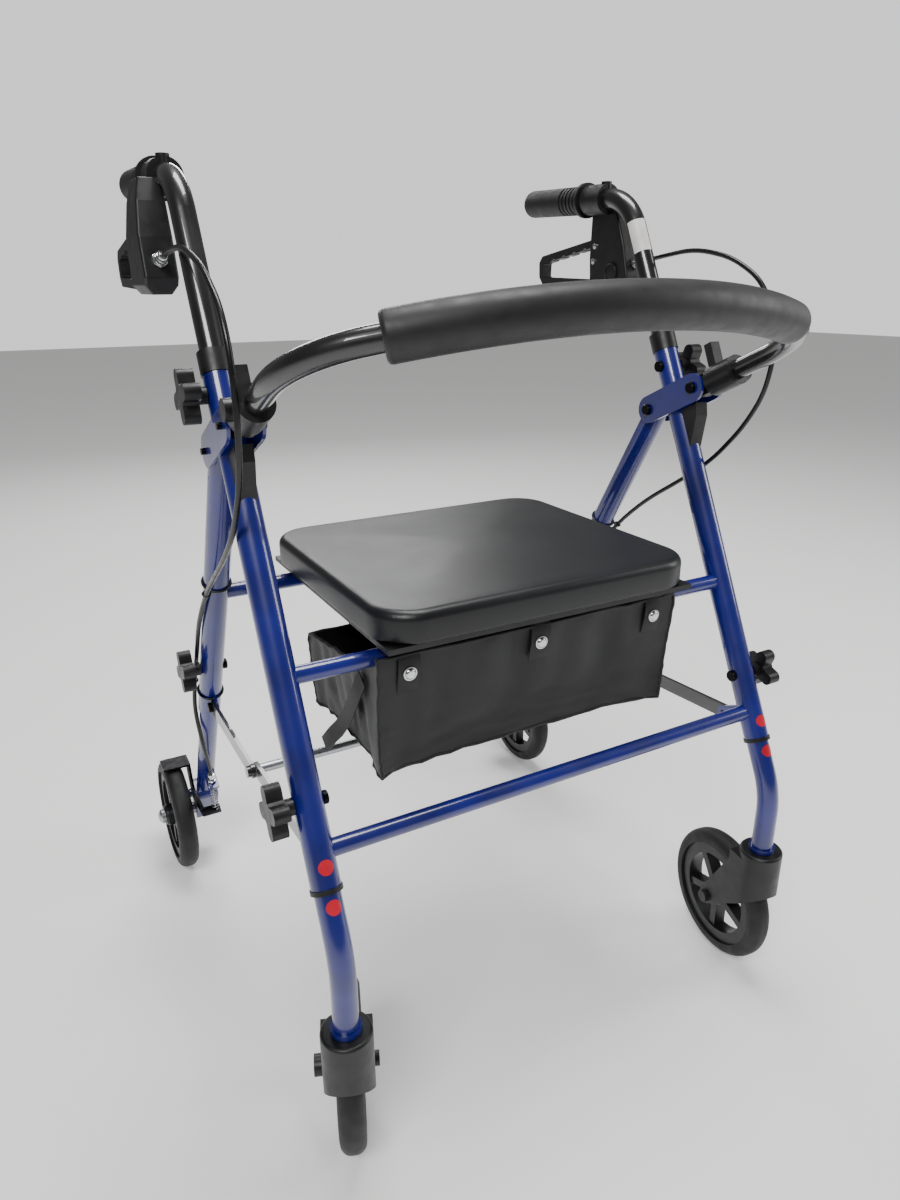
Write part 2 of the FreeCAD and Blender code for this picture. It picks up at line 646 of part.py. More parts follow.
def caster_fork_master():
    """Two-cheeked plastic fork in its own frame: swivel axis on Z, wheel along +Y."""
    body = body_at("fork_body", Placement())
    outline = new_sketch(body, "fork_outline", "YZ_Plane")
    front, back = "-(Sizes.fork_width / 2)", "Sizes.fork_width / 2"
    axle_height, boss = "Sizes.wheel_od / 2", "Sizes.fork_boss_od / 2"
    outline_in(outline, [
        (front, "Sizes.fork_top"),
        (front, axle_height + " + 48"),
        ("Sizes.fork_trail - 4", "%s - %s + 1" % (axle_height, boss)),
        ("Sizes.fork_trail + 9", axle_height + " + 4"),
        (back, "Sizes.fork_top - 22"),
        (back, "Sizes.fork_top"),
    ])
    pad(body, outline, "Sizes.fork_width", "fork_pad", both_ways=True)
    floor = Placement()
    barrel = rod("fork_barrel", "Sizes.fork_width / 2", "Sizes.fork_top", floor)
    doc.recompute()
    top_edge = max(range(3), key=lambda index: barrel.Shape.Edges[index].CenterOfMass.z) + 1
    lip = doc.addObject("Part::Fillet", "fork_lip")
    lip.Base = barrel
    lip.Edges = [(top_edge, FORK_LIP_RADIUS, FORK_LIP_RADIUS)]
    cheek_top = size("fork_top") - FORK_COLLAR_HEIGHT
    cheeks = slab("fork_cheeks", "Sizes.fork_width", "Sizes.fork_trail * 2", "%g" % cheek_top,
                  spot(floor, 0, size("fork_trail"), cheek_top / 2))
    rounded = doc.addObject("Part::MultiCommon", "fork_rounded")
    rounded.Shapes = [body, fuse("fork_plan", lip, cheeks)]
    axle = Vector(-size("fork_width") / 2, size("fork_trail"), size("wheel_od") / 2)
    ends = rod("fork_bosses", "Sizes.fork_boss_od / 2", "Sizes.fork_width", Placement(axle, AXIS_X))
    gap_at = Placement(axle + Vector((size("fork_width") - size("fork_gap")) / 2, 0, 0), AXIS_X)
    gap = rod("fork_wheel_gap", "Sizes.wheel_od / 2 + Sizes.tyre_room", "Sizes.fork_gap", gap_at)
    stem = rod("fork_stem_bore", "Sizes.stem_od / 2 + Sizes.pin_clearance", "Sizes.stem_length + 1",
               Placement(Vector(0, 0, size("fork_top") - size("stem_length")), Rotation()))
    hole = rod("fork_axle_hole", "Sizes.axle_od / 2", "Sizes.fork_width + 2",
               Placement(axle - Vector(1, 0, 0), AXIS_X))
    return cut("fork_shape", fuse("fork_solid", rounded, ends), gap, stem, hole)


def casters():
    """Two forks as they stand, and their axles with the cap on the outer side."""
    fork = caster_fork_master()
    half = size("fork_width") / 2
    for word, side in SIDES:
        frame = caster_frame(side)
        keep(copy_of("caster_fork_" + word, fork, frame), "caster_fork_" + word)
        shank = Part.makeCylinder(size("axle_od") / 2, 2 * half)
        cap = Part.makeCylinder(size("axle_cap_od") / 2, size("axle_cap_height"),
                                Vector(0, 0, -size("axle_cap_height")))
        nut = Part.makeCylinder(size("axle_nut_od") / 2, size("axle_nut_height"), Vector(0, 0, 2 * half))
        axle_at = spot(frame, side * half, size("fork_trail"), size("wheel_od") / 2,
                       Rotation(Vector(0, 1, 0), -90 * side))
        keep(solid("caster_axle_" + word, shank.fuse([cap, nut]).removeSplitter(), axle_at),
             "caster_axle_" + word)


# ---------------------------------------------------------------- wheels
def rim_master():
    """Moulded rim, hub and ribbed spokes about the Z axis, centred on the origin."""
    low = -size("rim_width") / 2
    rim_radius = "Sizes.wheel_od / 2 - Sizes.tyre_height"
    window_radius = rim_radius + " - Sizes.rim_band"
    band = rod("rim_outside", rim_radius, "Sizes.rim_width", Placement(Vector(0, 0, low), Rotation()))
    window = rod("rim_inside", window_radius, "Sizes.rim_width + 2",
                 Placement(Vector(0, 0, low - 1), Rotation()))
    ring = cut("rim_ring", band, window)
    hub_low = Placement(Vector(0, 0, -size("hub_width") / 2), Rotation())
    hub = rod("rim_hub", "Sizes.hub_od / 2", "Sizes.hub_width", hub_low)
    count = int(size("spoke_count"))
    middle = (size("wheel_od") / 2 - size("tyre_height") - size("rim_band") + size("hub_od") / 2) / 2
    spokes = []
    for index in range(count):
        turn = Placement(Vector(), Rotation(Vector(0, 0, 1), 360 * index / count))
        spokes.append(slab("spoke_%d" % index, window_radius, "Sizes.spoke_width", "Sizes.spoke_depth",
                           spot(turn, middle, 0, 0)))
    bore = rod("rim_bore", "Sizes.axle_od / 2 + Sizes.pin_clearance", "Sizes.hub_width * 2",
               Placement(Vector(0, 0, -size("hub_width")), Rotation()))
    return cut("rim_shape", fuse("rim_solid", ring, hub, *spokes), bore)


def tyre_master():
    """Solid tyre with a rounded tread, about the Z axis."""
    body = body_at("tyre_body", Placement())
    outer = new_sketch(body, "tyre_outer")
    circle_in(outer, "Sizes.wheel_od / 2", "tread")
    ring = pad(body, outer, "Sizes.tyre_width", "tyre_pad", both_ways=True)
    inner = new_sketch(body, "tyre_inner")
    circle_in(inner, "Sizes.wheel_od / 2 - Sizes.tyre_height", "bead")
    hole = pocket(body, inner, "tyre_hole")
    tread = [i + 1 for i, e in enumerate(hole.Shape.Edges)
             if e.Curve.TypeId == "Part::GeomCircle" and abs(e.Curve.Radius - size("wheel_od") / 2) < 0.01]
    rounding = body.newObject("PartDesign::Fillet", "tyre_rounding")
    rounding.Base = (hole, ["Edge%d" % i for i in tread])
    rounding.setExpression("Radius", "Sizes.tyre_width * Sizes.tread_roundness")
    body.Tip = rounding
    doc.recompute()
    return body


def wheels():
    rim, tyre = rim_master(), tyre_master()
    for word, side in SIDES:
        frame = caster_frame(side)
        front = spot(frame, 0, size("fork_trail"), size("wheel_od") / 2, AXIS_X)
        axle = rear_leg(side).multVec(Vector(0, 0, rear_axle_place()))
        rear = Placement(Vector(side * (HALF + size("rear_wheel_out")), axle.y, size("wheel_od") / 2),
                         AXIS_X)
        keep(copy_of("front_rim_" + word, rim, front), "front_wheel_rim_" + word)
        keep(copy_of("front_tyre_" + word, tyre, front), "front_tyre_" + word)
        keep(copy_of("rear_rim_" + word, rim, rear), "rear_wheel_rim_" + word)
        keep(copy_of("rear_tyre_" + word, tyre, rear), "rear_tyre_" + word)


# ---------------------------------------------------------------- rear frame
def rear_tube():
    """Outer rear leg with a flattened top, its pivot hole, a brace tab and a clamp hole."""
    leg = rear_leg(LEFT)
    outside = rod("rear_tube_outside", "Sizes.frame_tube_od / 2",
                  "Sizes.rear_tube_length + Sizes.rear_top_end",
                  spot(leg, 0, 0, -size("rear_top_end")))
    bore = rod("rear_tube_bore", "Sizes.frame_tube_od / 2 - Sizes.frame_tube_wall",
               "Sizes.rear_tube_length + Sizes.rear_top_end + 2",
               spot(leg, 0, 0, -size("rear_top_end") - 1))
    inset = tab_inset(rear_link_outset())
    tab = slab("rear_tab_arm", "Sizes.plate_thickness", "Sizes.rear_tab_reach", "Sizes.brace_width",
               spot(leg, inset, size("rear_tab_reach") / 2, size("rear_tab_place")))
    tip = rod("rear_tab_tip", "Sizes.brace_width / 2", "Sizes.plate_thickness",
              spot(leg, inset - size("plate_thickness") / 2, size("rear_tab_reach"),
                   size("rear_tab_place"), AXIS_X))
    flats = [slab("rear_flat_" + name, "Sizes.slide_clearance * 2", "Sizes.plate_width * 2",
                  "Sizes.plate_width * 2", spot(leg, edge * size("frame_tube_od") / 2, 0, 0))
             for name, edge in (("in", -1), ("out", 1))]
    pivot = rod("rear_pivot_hole", "Sizes.bolt_od / 2 + Sizes.pin_clearance", "Sizes.frame_tube_od * 2",
                spot(leg, -size("frame_tube_od"), 0, 0, AXIS_X))
    pin_hole = rod("rear_tab_hole", "Sizes.bolt_od / 2", "Sizes.frame_tube_od",
                   spot(leg, inset - size("frame_tube_od") / 2, size("rear_tab_reach"),
                        size("rear_tab_place"), AXIS_X))
    clamp = clamp_hole("rear_clamp_hole", leg, size("rear_knob_place"), "Sizes.bolt_od / 2")
    shape = fuse("rear_tube_body", outside, tab, tip)
    pair("rear_leg_tube", cut("rear_leg_tube_left", shape, bore, pivot, pin_hole, clamp, *flats))


def rear_bolts():
    wall = size("frame_tube_od") / 2
    bolts = []
    for word, side in SIDES:
        leg = rear_leg(side)
        link = rear_link_outset()
        inner = link - size("brace_thickness") / 2 - size("slide_clearance") - size("plate_thickness")
        outer = link + size("brace_thickness") / 2 + size("slide_clearance")
        bolts.append(through_bolt("rear_brace_bolt_" + word, leg, size("rear_tab_reach"),
                                  size("rear_tab_place"), inner, outer, side, head_outside=True))
        bolts.append(through_bolt("rear_clamp_bolt_" + word, leg, 0, size("rear_knob_place"), -wall,
                                  wall + size("knob_stem_length") + size("clamp_bolt_end"), side))
    keep(group("rear_frame_bolts", bolts), "rear_frame_bolts")


# Cable stop: a small plate across the front of the lower leg.
STOP_PLATE_WIDTH = 14
STOP_PLATE_LENGTH = 28
STOP_PLATE_THICKNESS = 3.5
TUBE_END_ABOVE_AXLE = 6


def inner_rear_path():
    """Centre line of the lower rear leg, from its upper to its lower end."""
    leg = rear_leg(LEFT)
    top = size("rear_knob_place") - size("leg_travel") - size("tube_overlap")
    end = rear_axle_place() - TUBE_END_ABOVE_AXLE
    return Part.Wire([Part.LineSegment(leg.multVec(Vector(0, 0, top)),
                                       leg.multVec(Vector(0, 0, end))).toShape()])


def lower_rear_leg():
    """Inner rear tube with its clamp slot and the cable stop."""
    leg = rear_leg(LEFT)
    bolt = size("rear_knob_place")
    path = inner_rear_path()
    tube = hollow(path, size("inner_tube_od"), size("inner_tube_wall"))
    room = size("bolt_od") / 2 + size("slot_play")
    slot = clamp_slot(leg, bolt - size("leg_travel") - room, bolt + room)
    plate_low = Vector(-STOP_PLATE_WIDTH / 2, size("inner_tube_od") / 2 - 1, size("cable_stop_place"))
    plate = Part.makeBox(STOP_PLATE_WIDTH, STOP_PLATE_LENGTH, STOP_PLATE_THICKNESS, plate_low)
    plate.Placement = leg
    bore = swept(path, size("inner_tube_od") - 2 * size("inner_tube_wall"))
    shape = tube.fuse(plate.cut(bore)).cut(slot).removeSplitter()
    pair("rear_lower_tube", solid("rear_lower_tube_left", shape))


def bracket_width():
    return size("inner_tube_od") + 2 * size("bracket_wall")


def axle_bracket():
    """Block round the lower leg's end, with the headed pin that the brake arm turns on."""
    width = bracket_width()
    axle = rear_axle_place()
    low = axle - size("bracket_above")
    height = size("bracket_above") + size("bracket_below")
    depth = size("bracket_depth")
    block = Part.makeBox(width, depth, height, Vector(-width / 2, -depth / 2, low))
    block = block.makeFillet(size("bracket_corner"), [edge for edge in block.Edges if along_x(edge)])
    bore_length = size("bracket_above") - TUBE_END_ABOVE_AXLE + 1
    bore = Part.makeCylinder(size("inner_tube_od") / 2, bore_length, Vector(0, 0, low - 1))
    across = Vector(1, 0, 0)
    hole = Part.makeCylinder(size("axle_od") / 2, width + 2, Vector(-width / 2 - 1, 0, axle), across)
    pivot = brake_pivot()
    arm_room = size("plate_thickness") + 2 * size("slide_clearance")
    pin_at = Vector(width / 2 - 1, pivot.y, pivot.z)
    pin = Part.makeCylinder(size("bolt_od") / 2, arm_room + 1, pin_at, across)
    head_at = Vector(width / 2 + arm_room, pivot.y, pivot.z)
    head = Part.makeCylinder(size("bolt_head_od") / 2, size("plate_thickness"), head_at, across)
    bracket = block.cut([bore, hole]).fuse([pin, head]).removeSplitter()
    pair("rear_axle_bracket", solid("rear_axle_bracket_left", bracket, rear_leg(LEFT)))


def rear_axle():
    """Axle from the bracket's inner face through the hub, with a spacer and a domed nut."""
    width = bracket_width()
    centre = rear_leg(LEFT).multVec(Vector(0, 0, rear_axle_place()))
    place = Placement(Vector(HALF - width / 2, centre.y, centre.z), AXIS_X)
    hub_in = width / 2 + size("rear_wheel_out") - size("hub_width") / 2
    hub_out = hub_in + size("hub_width")
    shank = Part.makeCylinder(size("axle_od") / 2, hub_out + size("hub_nut_height") + 1, Vector(0, 0, -1))
    nut_height = size("axle_nut_height")
    head = Part.makeCylinder(size("axle_nut_od") / 2, nut_height, Vector(0, 0, -nut_height))
    spacer = Part.makeCylinder(size("hub_collar_od") / 2, hub_in - width - size("hub_gap"),
                               Vector(0, 0, width))
    nut_at = hub_out + size("hub_gap")
    nut = Part.makeCylinder(size("hub_nut_od") / 2, size("hub_nut_height"), Vector(0, 0, nut_at))
    radius = size("hub_nut_od") / 2
    ball_radius = radius * 1.3
    sink = math.sqrt(ball_radius ** 2 - radius ** 2)
    ball = Part.makeSphere(ball_radius, Vector(0, 0, nut_at + size("hub_nut_height") - sink))
    beyond = Part.makeCylinder(radius, ball_radius, Vector(0, 0, nut_at + size("hub_nut_height")))
    shape = shank.fuse([head, spacer, nut, ball.common(beyond)]).removeSplitter()
    pair("rear_axle", solid("rear_axle_left", shape, place))


def brake_pivot():
    """Pivot of the brake arm in the rear leg's frame."""
    return Vector(0, 0, rear_axle_place() - size("brake_pivot_above"))


# Outlines of the arm's two blades as (ahead, down) distances from its pivot, and where the
# cable's inner wire is hooked.
CABLE_HOOK = (51, -33)
CABLE_BLADE = [(-4, -9), (6, 8), (CABLE_HOOK[0] + 2, CABLE_HOOK[1] + 6),
               (CABLE_HOOK[0] - 2, CABLE_HOOK[1] - 6)]
SHOE_BLADE_START = [(9, -5), (-8, 6)]
SHOE_LENGTH = 26
LUG_WIDTH = 12


def brake_arm():
    """Bell crank beside the leg: one end takes the cable, the shoe bends out over the tyre."""
    pivot = brake_pivot()
    inner = bracket_width() / 2 + size("slide_clearance")
    thick = size("plate_thickness")
    shoe_reach = size("wheel_od") / 2 + size("shoe_gap")
    to_shoe = Placement(Vector(0, 0, rear_axle_place()),
                        Rotation(Vector(1, 0, 0), 180 - size("shoe_angle")))
    shoe_low = to_shoe.multVec(Vector(0, LUG_WIDTH, shoe_reach))
    shoe_high = to_shoe.multVec(Vector(0, -LUG_WIDTH, shoe_reach + thick))
    cable_blade = [(pivot.y + ahead, pivot.z + down) for ahead, down in CABLE_BLADE]
    shoe_blade = [(pivot.y + ahead, pivot.z + down) for ahead, down in SHOE_BLADE_START]
    shoe_blade += [(shoe_low.y, shoe_low.z), (shoe_high.y, shoe_high.z)]
    plates = [across_plate(Vector(inner, 0, 0), blade, thick) for blade in (cable_blade, shoe_blade)]
    across = Vector(1, 0, 0)
    boss = Part.makeCylinder(size("stem_od"), thick, Vector(inner, pivot.y, pivot.z), across)
    hook = pivot + Vector(0, *CABLE_HOOK)
    lug = Part.makeBox(inner + thick + LUG_WIDTH / 2, LUG_WIDTH, thick,
                       Vector(-LUG_WIDTH / 2, hook.y - LUG_WIDTH / 2, hook.z - thick))
    shoe_width = size("rear_wheel_out") + size("tyre_width") / 2 + 1 - inner
    shoe = Part.makeBox(shoe_width, SHOE_LENGTH, thick, Vector(inner, -SHOE_LENGTH / 2, shoe_reach))
    shoe.Placement = to_shoe
    hole = Part.makeCylinder(size("bolt_od") / 2 + size("pin_clearance"), 3 * thick,
                             Vector(inner - thick, pivot.y, pivot.z), across)
    shape = boss.fuse(plates + [lug, shoe]).cut(hole).removeSplitter()
    pair("brake_arm", solid("brake_arm_left", shape, rear_leg(LEFT)))


# ---------------------------------------------------------------- folding braces
def brace_bar(name, start, end, outset, side):
    """A flat bar with round ends and a pivot hole in each."""
    body = body_at(name, Placement())
    outline = new_sketch(body, name + "_outline")
    slot_in(outline, "%.4f" % (end - start).Length, "Sizes.brace_width")
    pad(body, outline, "Sizes.brace_thickness", name + "_pad", both_ways=True)
    hole = new_sketch(body, name + "_hole")
    circle_in(hole, "Sizes.bolt_od / 2 + Sizes.pin_clearance", "hole")
    pocket(body, hole, name + "_cut")
    along = (end - start).normalize()
    turn = Rotation(along, Vector(0, -along.z, along.y), Vector(side, 0, 0), "ZXY")
    body.Placement = Placement(Vector(side * (HALF + outset), start.y, start.z), turn)
    return body


def far_hole(name, bar):
    """The hole at the far end of a front brace bar, which the cross rod is pressed into."""
    tool = rod(name + "_far", "Sizes.bolt_od / 2", "Sizes.brace_thickness * 3",
               spot(bar.Placement, BRACE_LENGTH, 0, -1.5 * size("brace_thickness")))
    return cut(name + "_drilled", bar, tool)


def braces():
    """Front bars with their cross rod, and the two rear bars with their middle nuts."""
    front = []
    for word, side in SIDES:
        name = "front_brace_" + word
        bar = brace_bar(name, FRONT_BRACE_PIVOT, MIDDLE_BRACE_PIVOT, front_link_outset(), side)
        front.append(far_hole(name, bar))
    keep(group("front_brace_links", front), "front_brace_links")
    middle = MIDDLE_BRACE_PIVOT
    inner = HALF + rear_link_outset() - size("brace_thickness") / 2
    for word, side in SIDES:
        bar = brace_bar("rear_brace_" + word, REAR_BRACE_PIVOT, middle, rear_link_outset(), side)
        nut_at = Placement(Vector(side * inner, middle.y, middle.z), Rotation(Vector(0, 1, 0), 90 * side))
        nut = rod("middle_nut_" + word, "Sizes.bolt_head_od / 2",
                  "Sizes.brace_thickness + Sizes.bolt_head_height",
                  nut_at)
        keep(fuse("rear_brace_link_" + word, bar, nut), "rear_brace_link_" + word)
    reach = HALF + front_link_outset() - size("brace_thickness") / 2
    bar = Part.makeCylinder(size("rod_od") / 2, 2 * reach, Vector(-reach, 0, 0), Vector(1, 0, 0))
    pin = Part.makeCylinder(size("bolt_od") / 2, 2 * (reach + size("brace_thickness")),
                            Vector(-reach - size("brace_thickness"), 0, 0), Vector(1, 0, 0))
    place = Placement(Vector(0, MIDDLE_BRACE_PIVOT.y, MIDDLE_BRACE_PIVOT.z), Rotation())
    keep(solid("brace_cross_rod", bar.fuse(pin).removeSplitter(), place), "brace_cross_rod")


# ---------------------------------------------------------------- handles
def handle_path():
    """Centre line of the handle tube, from its lower end to the end of the grip."""
    leg = front_leg(LEFT)
    grip = handle_frame(LEFT)
    bottom = size("handle_knob_place") - size("handle_rise") - size("clamp_end_room") - size("bolt_od") / 2
    points = [leg.multVec(Vector(0, 0, bottom)), grip.Base,
              grip.multVec(Vector(0, 0, size("handle_reach")))]
    return rounded_path(points, [size("handle_bend_radius")])


def handle_tube():
    """Sliding handle: up the leg, round a bend and back along the grip."""
    leg = front_leg(LEFT)
    tube = hollow(handle_path(), size("handle_tube_od"), size("handle_tube_wall"))
    play = size("bolt_od") / 2 + size("slot_play")
    slot = clamp_slot(leg, size("handle_knob_place") - size("handle_rise") - play,
                      size("handle_knob_place") + size("handle_drop") + play)
    pair("handle_tube", solid("handle_tube_left", tube.cut(slot).removeSplitter()))


GRIP_RIBS = 5
GRIP_GROOVE_WIDTH = 2.5
GRIP_GROOVE_DEPTH = 1.5
GRIP_FIRST_GROOVE = 9
GRIP_RIB_STEP = 7
GRIP_END_ROUNDING = 9


def hand_grip():
    """Rubber grip with a round flange, ribs behind it and a smooth closed end."""
    frame = handle_frame(LEFT)
    start = size("grip_start")
    sleeve = Part.makeCylinder(size("grip_od") / 2, size("grip_length"))
    back_edge = [edge for edge in sleeve.Edges if abs(edge.CenterOfMass.z - size("grip_length")) < 0.01]
    sleeve = solid("grip_sleeve", sleeve.makeFillet(GRIP_END_ROUNDING, back_edge), spot(frame, 0, 0, start))
    flange = rod("grip_flange", "Sizes.grip_flange_od / 2", "5", spot(frame, 0, 0, start))
    bore = rod("grip_bore", "Sizes.handle_tube_od / 2", "Sizes.handle_reach - Sizes.grip_start + 1",
               spot(frame, 0, 0, start - 1))
    grooves = []
    for index in range(GRIP_RIBS):
        outside = Part.makeCylinder(size("grip_od") / 2 + 1, GRIP_GROOVE_WIDTH)
        core = Part.makeCylinder(size("grip_od") / 2 - GRIP_GROOVE_DEPTH, GRIP_GROOVE_WIDTH)
        place = spot(frame, 0, 0, start + GRIP_FIRST_GROOVE + GRIP_RIB_STEP * index)
        grooves.append(solid("grip_groove_%d" % index, outside.cut(core), place))
    pair("grip", cut("grip_left", fuse("grip_body", sleeve, flange), bore, *grooves))


# Outlines of the brake housing and lever, as distances from the handle's corner and from the
# lever's pivot: the side ones are (back, up), the front one is (outwards, up).
HOUSING_SIDE = [(35, 0), (73, 0), (75, -60), (72, -98), (14, -98), (3, -84), (12, -50), (24, -20)]
HOUSING_FRONT = [(2, 2), (20, 2), (26, -20), (30, -48), (30, -90), (22, -99), (6, -99), (0, -90), (0, -8)]
HOUSING_ROUNDING = 2.5
LEVER_PIVOT = (55, -48)
LEVER_REACH = 138
LEVER_SIDE = [(-14, 4), (4, 11), (LEVER_REACH - 6, -8), (LEVER_REACH + 1, -16), (LEVER_REACH, -34),
              (LEVER_REACH - 8, -43), (30, -46), (0, -46), (-12, -36)]
LEVER_WINDOW = [(18, 0), (LEVER_REACH - 10, -17), (LEVER_REACH - 9, -34), (16, -38)]
LEVER_ROUNDING = 5
WINDOW_ROUNDING = 3
FINGER_STEP = 22
FINGER_RADIUS = 7
CABLE_MOUTH = (6.5, -69)


def housing():
    """Clamp ring and two-walled body, slimmer at the top, that holds the lever."""
    corner = handle_frame(LEFT).Base
    face = corner + Vector(size("housing_inset"), 0, 0)
    side_view = across_plate(face, HOUSING_SIDE, size("housing_width"))
    front_points = [face + Vector(out, 0, up) for out, up in HOUSING_FRONT + HOUSING_FRONT[:1]]
    front_view = Part.Face(Part.makePolygon(front_points)).extrude(Vector(0, size("handle_reach"), 0))
    body = side_view.common(front_view)
    body = body.makeFillet(HOUSING_ROUNDING, body.Edges)
    clamp = Part.makeCylinder(size("clamp_od") / 2, size("clamp_length"))
    clamp.Placement = spot(handle_frame(LEFT), 0, 0, size("clamp_start"))
    stud_at = corner + Vector(0, size("clamp_start") + 5, 0)
    stud = Part.makeCylinder(size("bolt_od"), size("clamp_od") / 2 + 3.5, stud_at, Vector(0, 0, 1))
    bore = swept(handle_path(), size("handle_tube_od"))
    middle = face.x + size("housing_width") / 2
    slot_width = size("lever_width") + 2
    slot = Part.makeBox(slot_width, 80, 78, Vector(middle - slot_width / 2, corner.y + 25, corner.z - 107))
    pivot = face + Vector(0, *LEVER_PIVOT)
    pin = Part.makeCylinder(size("bolt_od") / 2, size("housing_width"), pivot, Vector(1, 0, 0))
    shape = body.fuse([clamp, stud]).cut([bore, slot]).fuse(pin).removeSplitter()
    pair("brake_housing", solid("brake_housing_left", shape))


def lever():
    """Flat lever with a long window and four finger hollows under its top bar."""
    width = size("lever_width")
    middle = handle_frame(LEFT).Base.x + size("housing_inset") + size("housing_width") / 2
    centre = handle_frame(LEFT).Base + Vector(0, *LEVER_PIVOT)
    centre.x = middle - width / 2
    plate = across_plate(centre, LEVER_SIDE, width)
    plate = plate.makeFillet(LEVER_ROUNDING, [edge for edge in plate.Edges if along_x(edge)])
    window = across_plate(centre, LEVER_WINDOW, width)
    window = window.makeFillet(WINDOW_ROUNDING, [edge for edge in window.Edges if along_x(edge)])
    bore = Part.makeCylinder(size("bolt_od") / 2 + size("pin_clearance"), 2 * width,
                             centre - Vector(width / 2, 0, 0), Vector(1, 0, 0))
    (first, top), (last, low) = LEVER_WINDOW[:2]
    slope = (low - top) / (last - first)
    fingers = []
    for step in range(4):
        back = 40 + FINGER_STEP * step
        under = top + slope * (back - first) - FINGER_RADIUS + 2
        fingers.append(Part.makeCylinder(FINGER_RADIUS, width, centre + Vector(0, back, under),
                                         Vector(1, 0, 0)))
    shape = plate.cut([window, bore] + fingers).removeSplitter()
    pair("brake_lever", solid("brake_lever_left", shape))


# ---------------------------------------------------------------- clamp knobs
def knob_master():
    """Four-armed star knob about the Z axis, its stem towards the leg."""
    depth = size("knob_stem_length")
    reach = size("knob_span") / 2 - size("knob_arm_width") / 2
    stem = rod("knob_stem", "Sizes.knob_stem_od / 2", "Sizes.knob_stem_length", Placement())
    hub = rod("knob_hub", "Sizes.knob_span / 4", "Sizes.knob_thickness",
              Placement(Vector(0, 0, depth), Rotation()))
    pieces = [stem, hub]
    arms = int(size("knob_arms"))
    for index in range(arms):
        angle = 360 * index / arms + size("knob_turn")
        turn = Placement(Vector(0, 0, depth), Rotation(Vector(0, 0, 1), angle))
        pieces.append(slab("knob_arm_%d" % index, "Sizes.knob_span / 2 - Sizes.knob_arm_width / 2",
                           "Sizes.knob_arm_width", "Sizes.knob_thickness",
                           spot(turn, reach / 2, 0, size("knob_thickness") / 2)))
        pieces.append(rod("knob_tip_%d" % index, "Sizes.knob_arm_width / 2", "Sizes.knob_thickness",
                          spot(turn, reach, 0, 0)))
    bore = rod("knob_bore", "Sizes.bolt_od / 2 + Sizes.pin_clearance",
               "Sizes.knob_stem_length + Sizes.clamp_bolt_end + 1", Placement(Vector(0, 0, -1), Rotation()))
    return cut("knob_shape", fuse("knob_body", *pieces), bore)


def knobs():
    master = knob_master()
    gap = size("frame_tube_od") / 2 + size("slide_clearance")
    for word, side in SIDES:
        outward = Rotation(Vector(0, 1, 0), 90 * side)
        for label, frame, place in (("handle_knob", front_leg(side), size("handle_knob_place")),
                                    ("front_leg_knob", front_leg(side), size("leg_knob_place")),
                                    ("rear_leg_knob", rear_leg(side), size("rear_knob_place"))):
            centre = frame.multVec(Vector(0, 0, place))
            knob_at = Placement(centre + Vector(side * gap, 0, 0), outward)
            keep(copy_of("%s_%s" % (label, word), master, knob_at), "%s_%s" % (label, word))


# ---------------------------------------------------------------- backrest
def backrest_corner(side, reach):
    """A point of the backrest line, measured from its pivot to the front."""
    return plate_line(side).multVec(Vector(0, 0, size("plate_span") + reach))


def backrest():
    """Bent tube with its padded sleeve."""
    arc_radius = size("backrest_arc_radius")
    pad_half = HALF - size("pad_inset")
    arc_depth = math.sqrt(arc_radius ** 2 - pad_half ** 2)
    pad_reach = size("backrest_reach") - (arc_radius - arc_depth)
    corner_reach = pad_reach - size("pad_inset") * pad_half / arc_depth
    level = backrest_corner(LEFT, pad_reach)
    middle = backrest_corner(LEFT, size("backrest_reach"))
    middle.x = 0
    tips = [Vector(side * pad_half, level.y, level.z) for word, side in SIDES]
    corners = [backrest_corner(side, corner_reach) for word, side in SIDES]
    ends = [backrest_corner(side, size("backrest_tube_start")) for word, side in SIDES]
    bend = [size("backrest_bend_radius")]
    arc = Part.Arc(tips[0], middle, tips[1]).toShape()
    left_run = rounded_path([ends[0], corners[0], tips[0]], bend)
    right_run = rounded_path([tips[1], corners[1], ends[1]], bend)
    tube = swept(Part.Wire(left_run.Edges + [arc] + right_run.Edges), size("backrest_tube_od"))
    keep(solid("backrest_tube", tube), "backrest_tube")
    foam = (size("pad_od") - size("backrest_tube_od")) / 2
    keep(solid("backrest_pad", hollow(Part.Wire([arc]), size("pad_od"), foam)), "backrest_pad")


SOCKET_LENGTH = 35
TONGUE_WIDTH = 16
KNUCKLE_RADIUS = 11
TAB_SIZE = (12, 26, 10)
BUTTON_PROUD = 7.5
BUTTON_GAP = 0.5


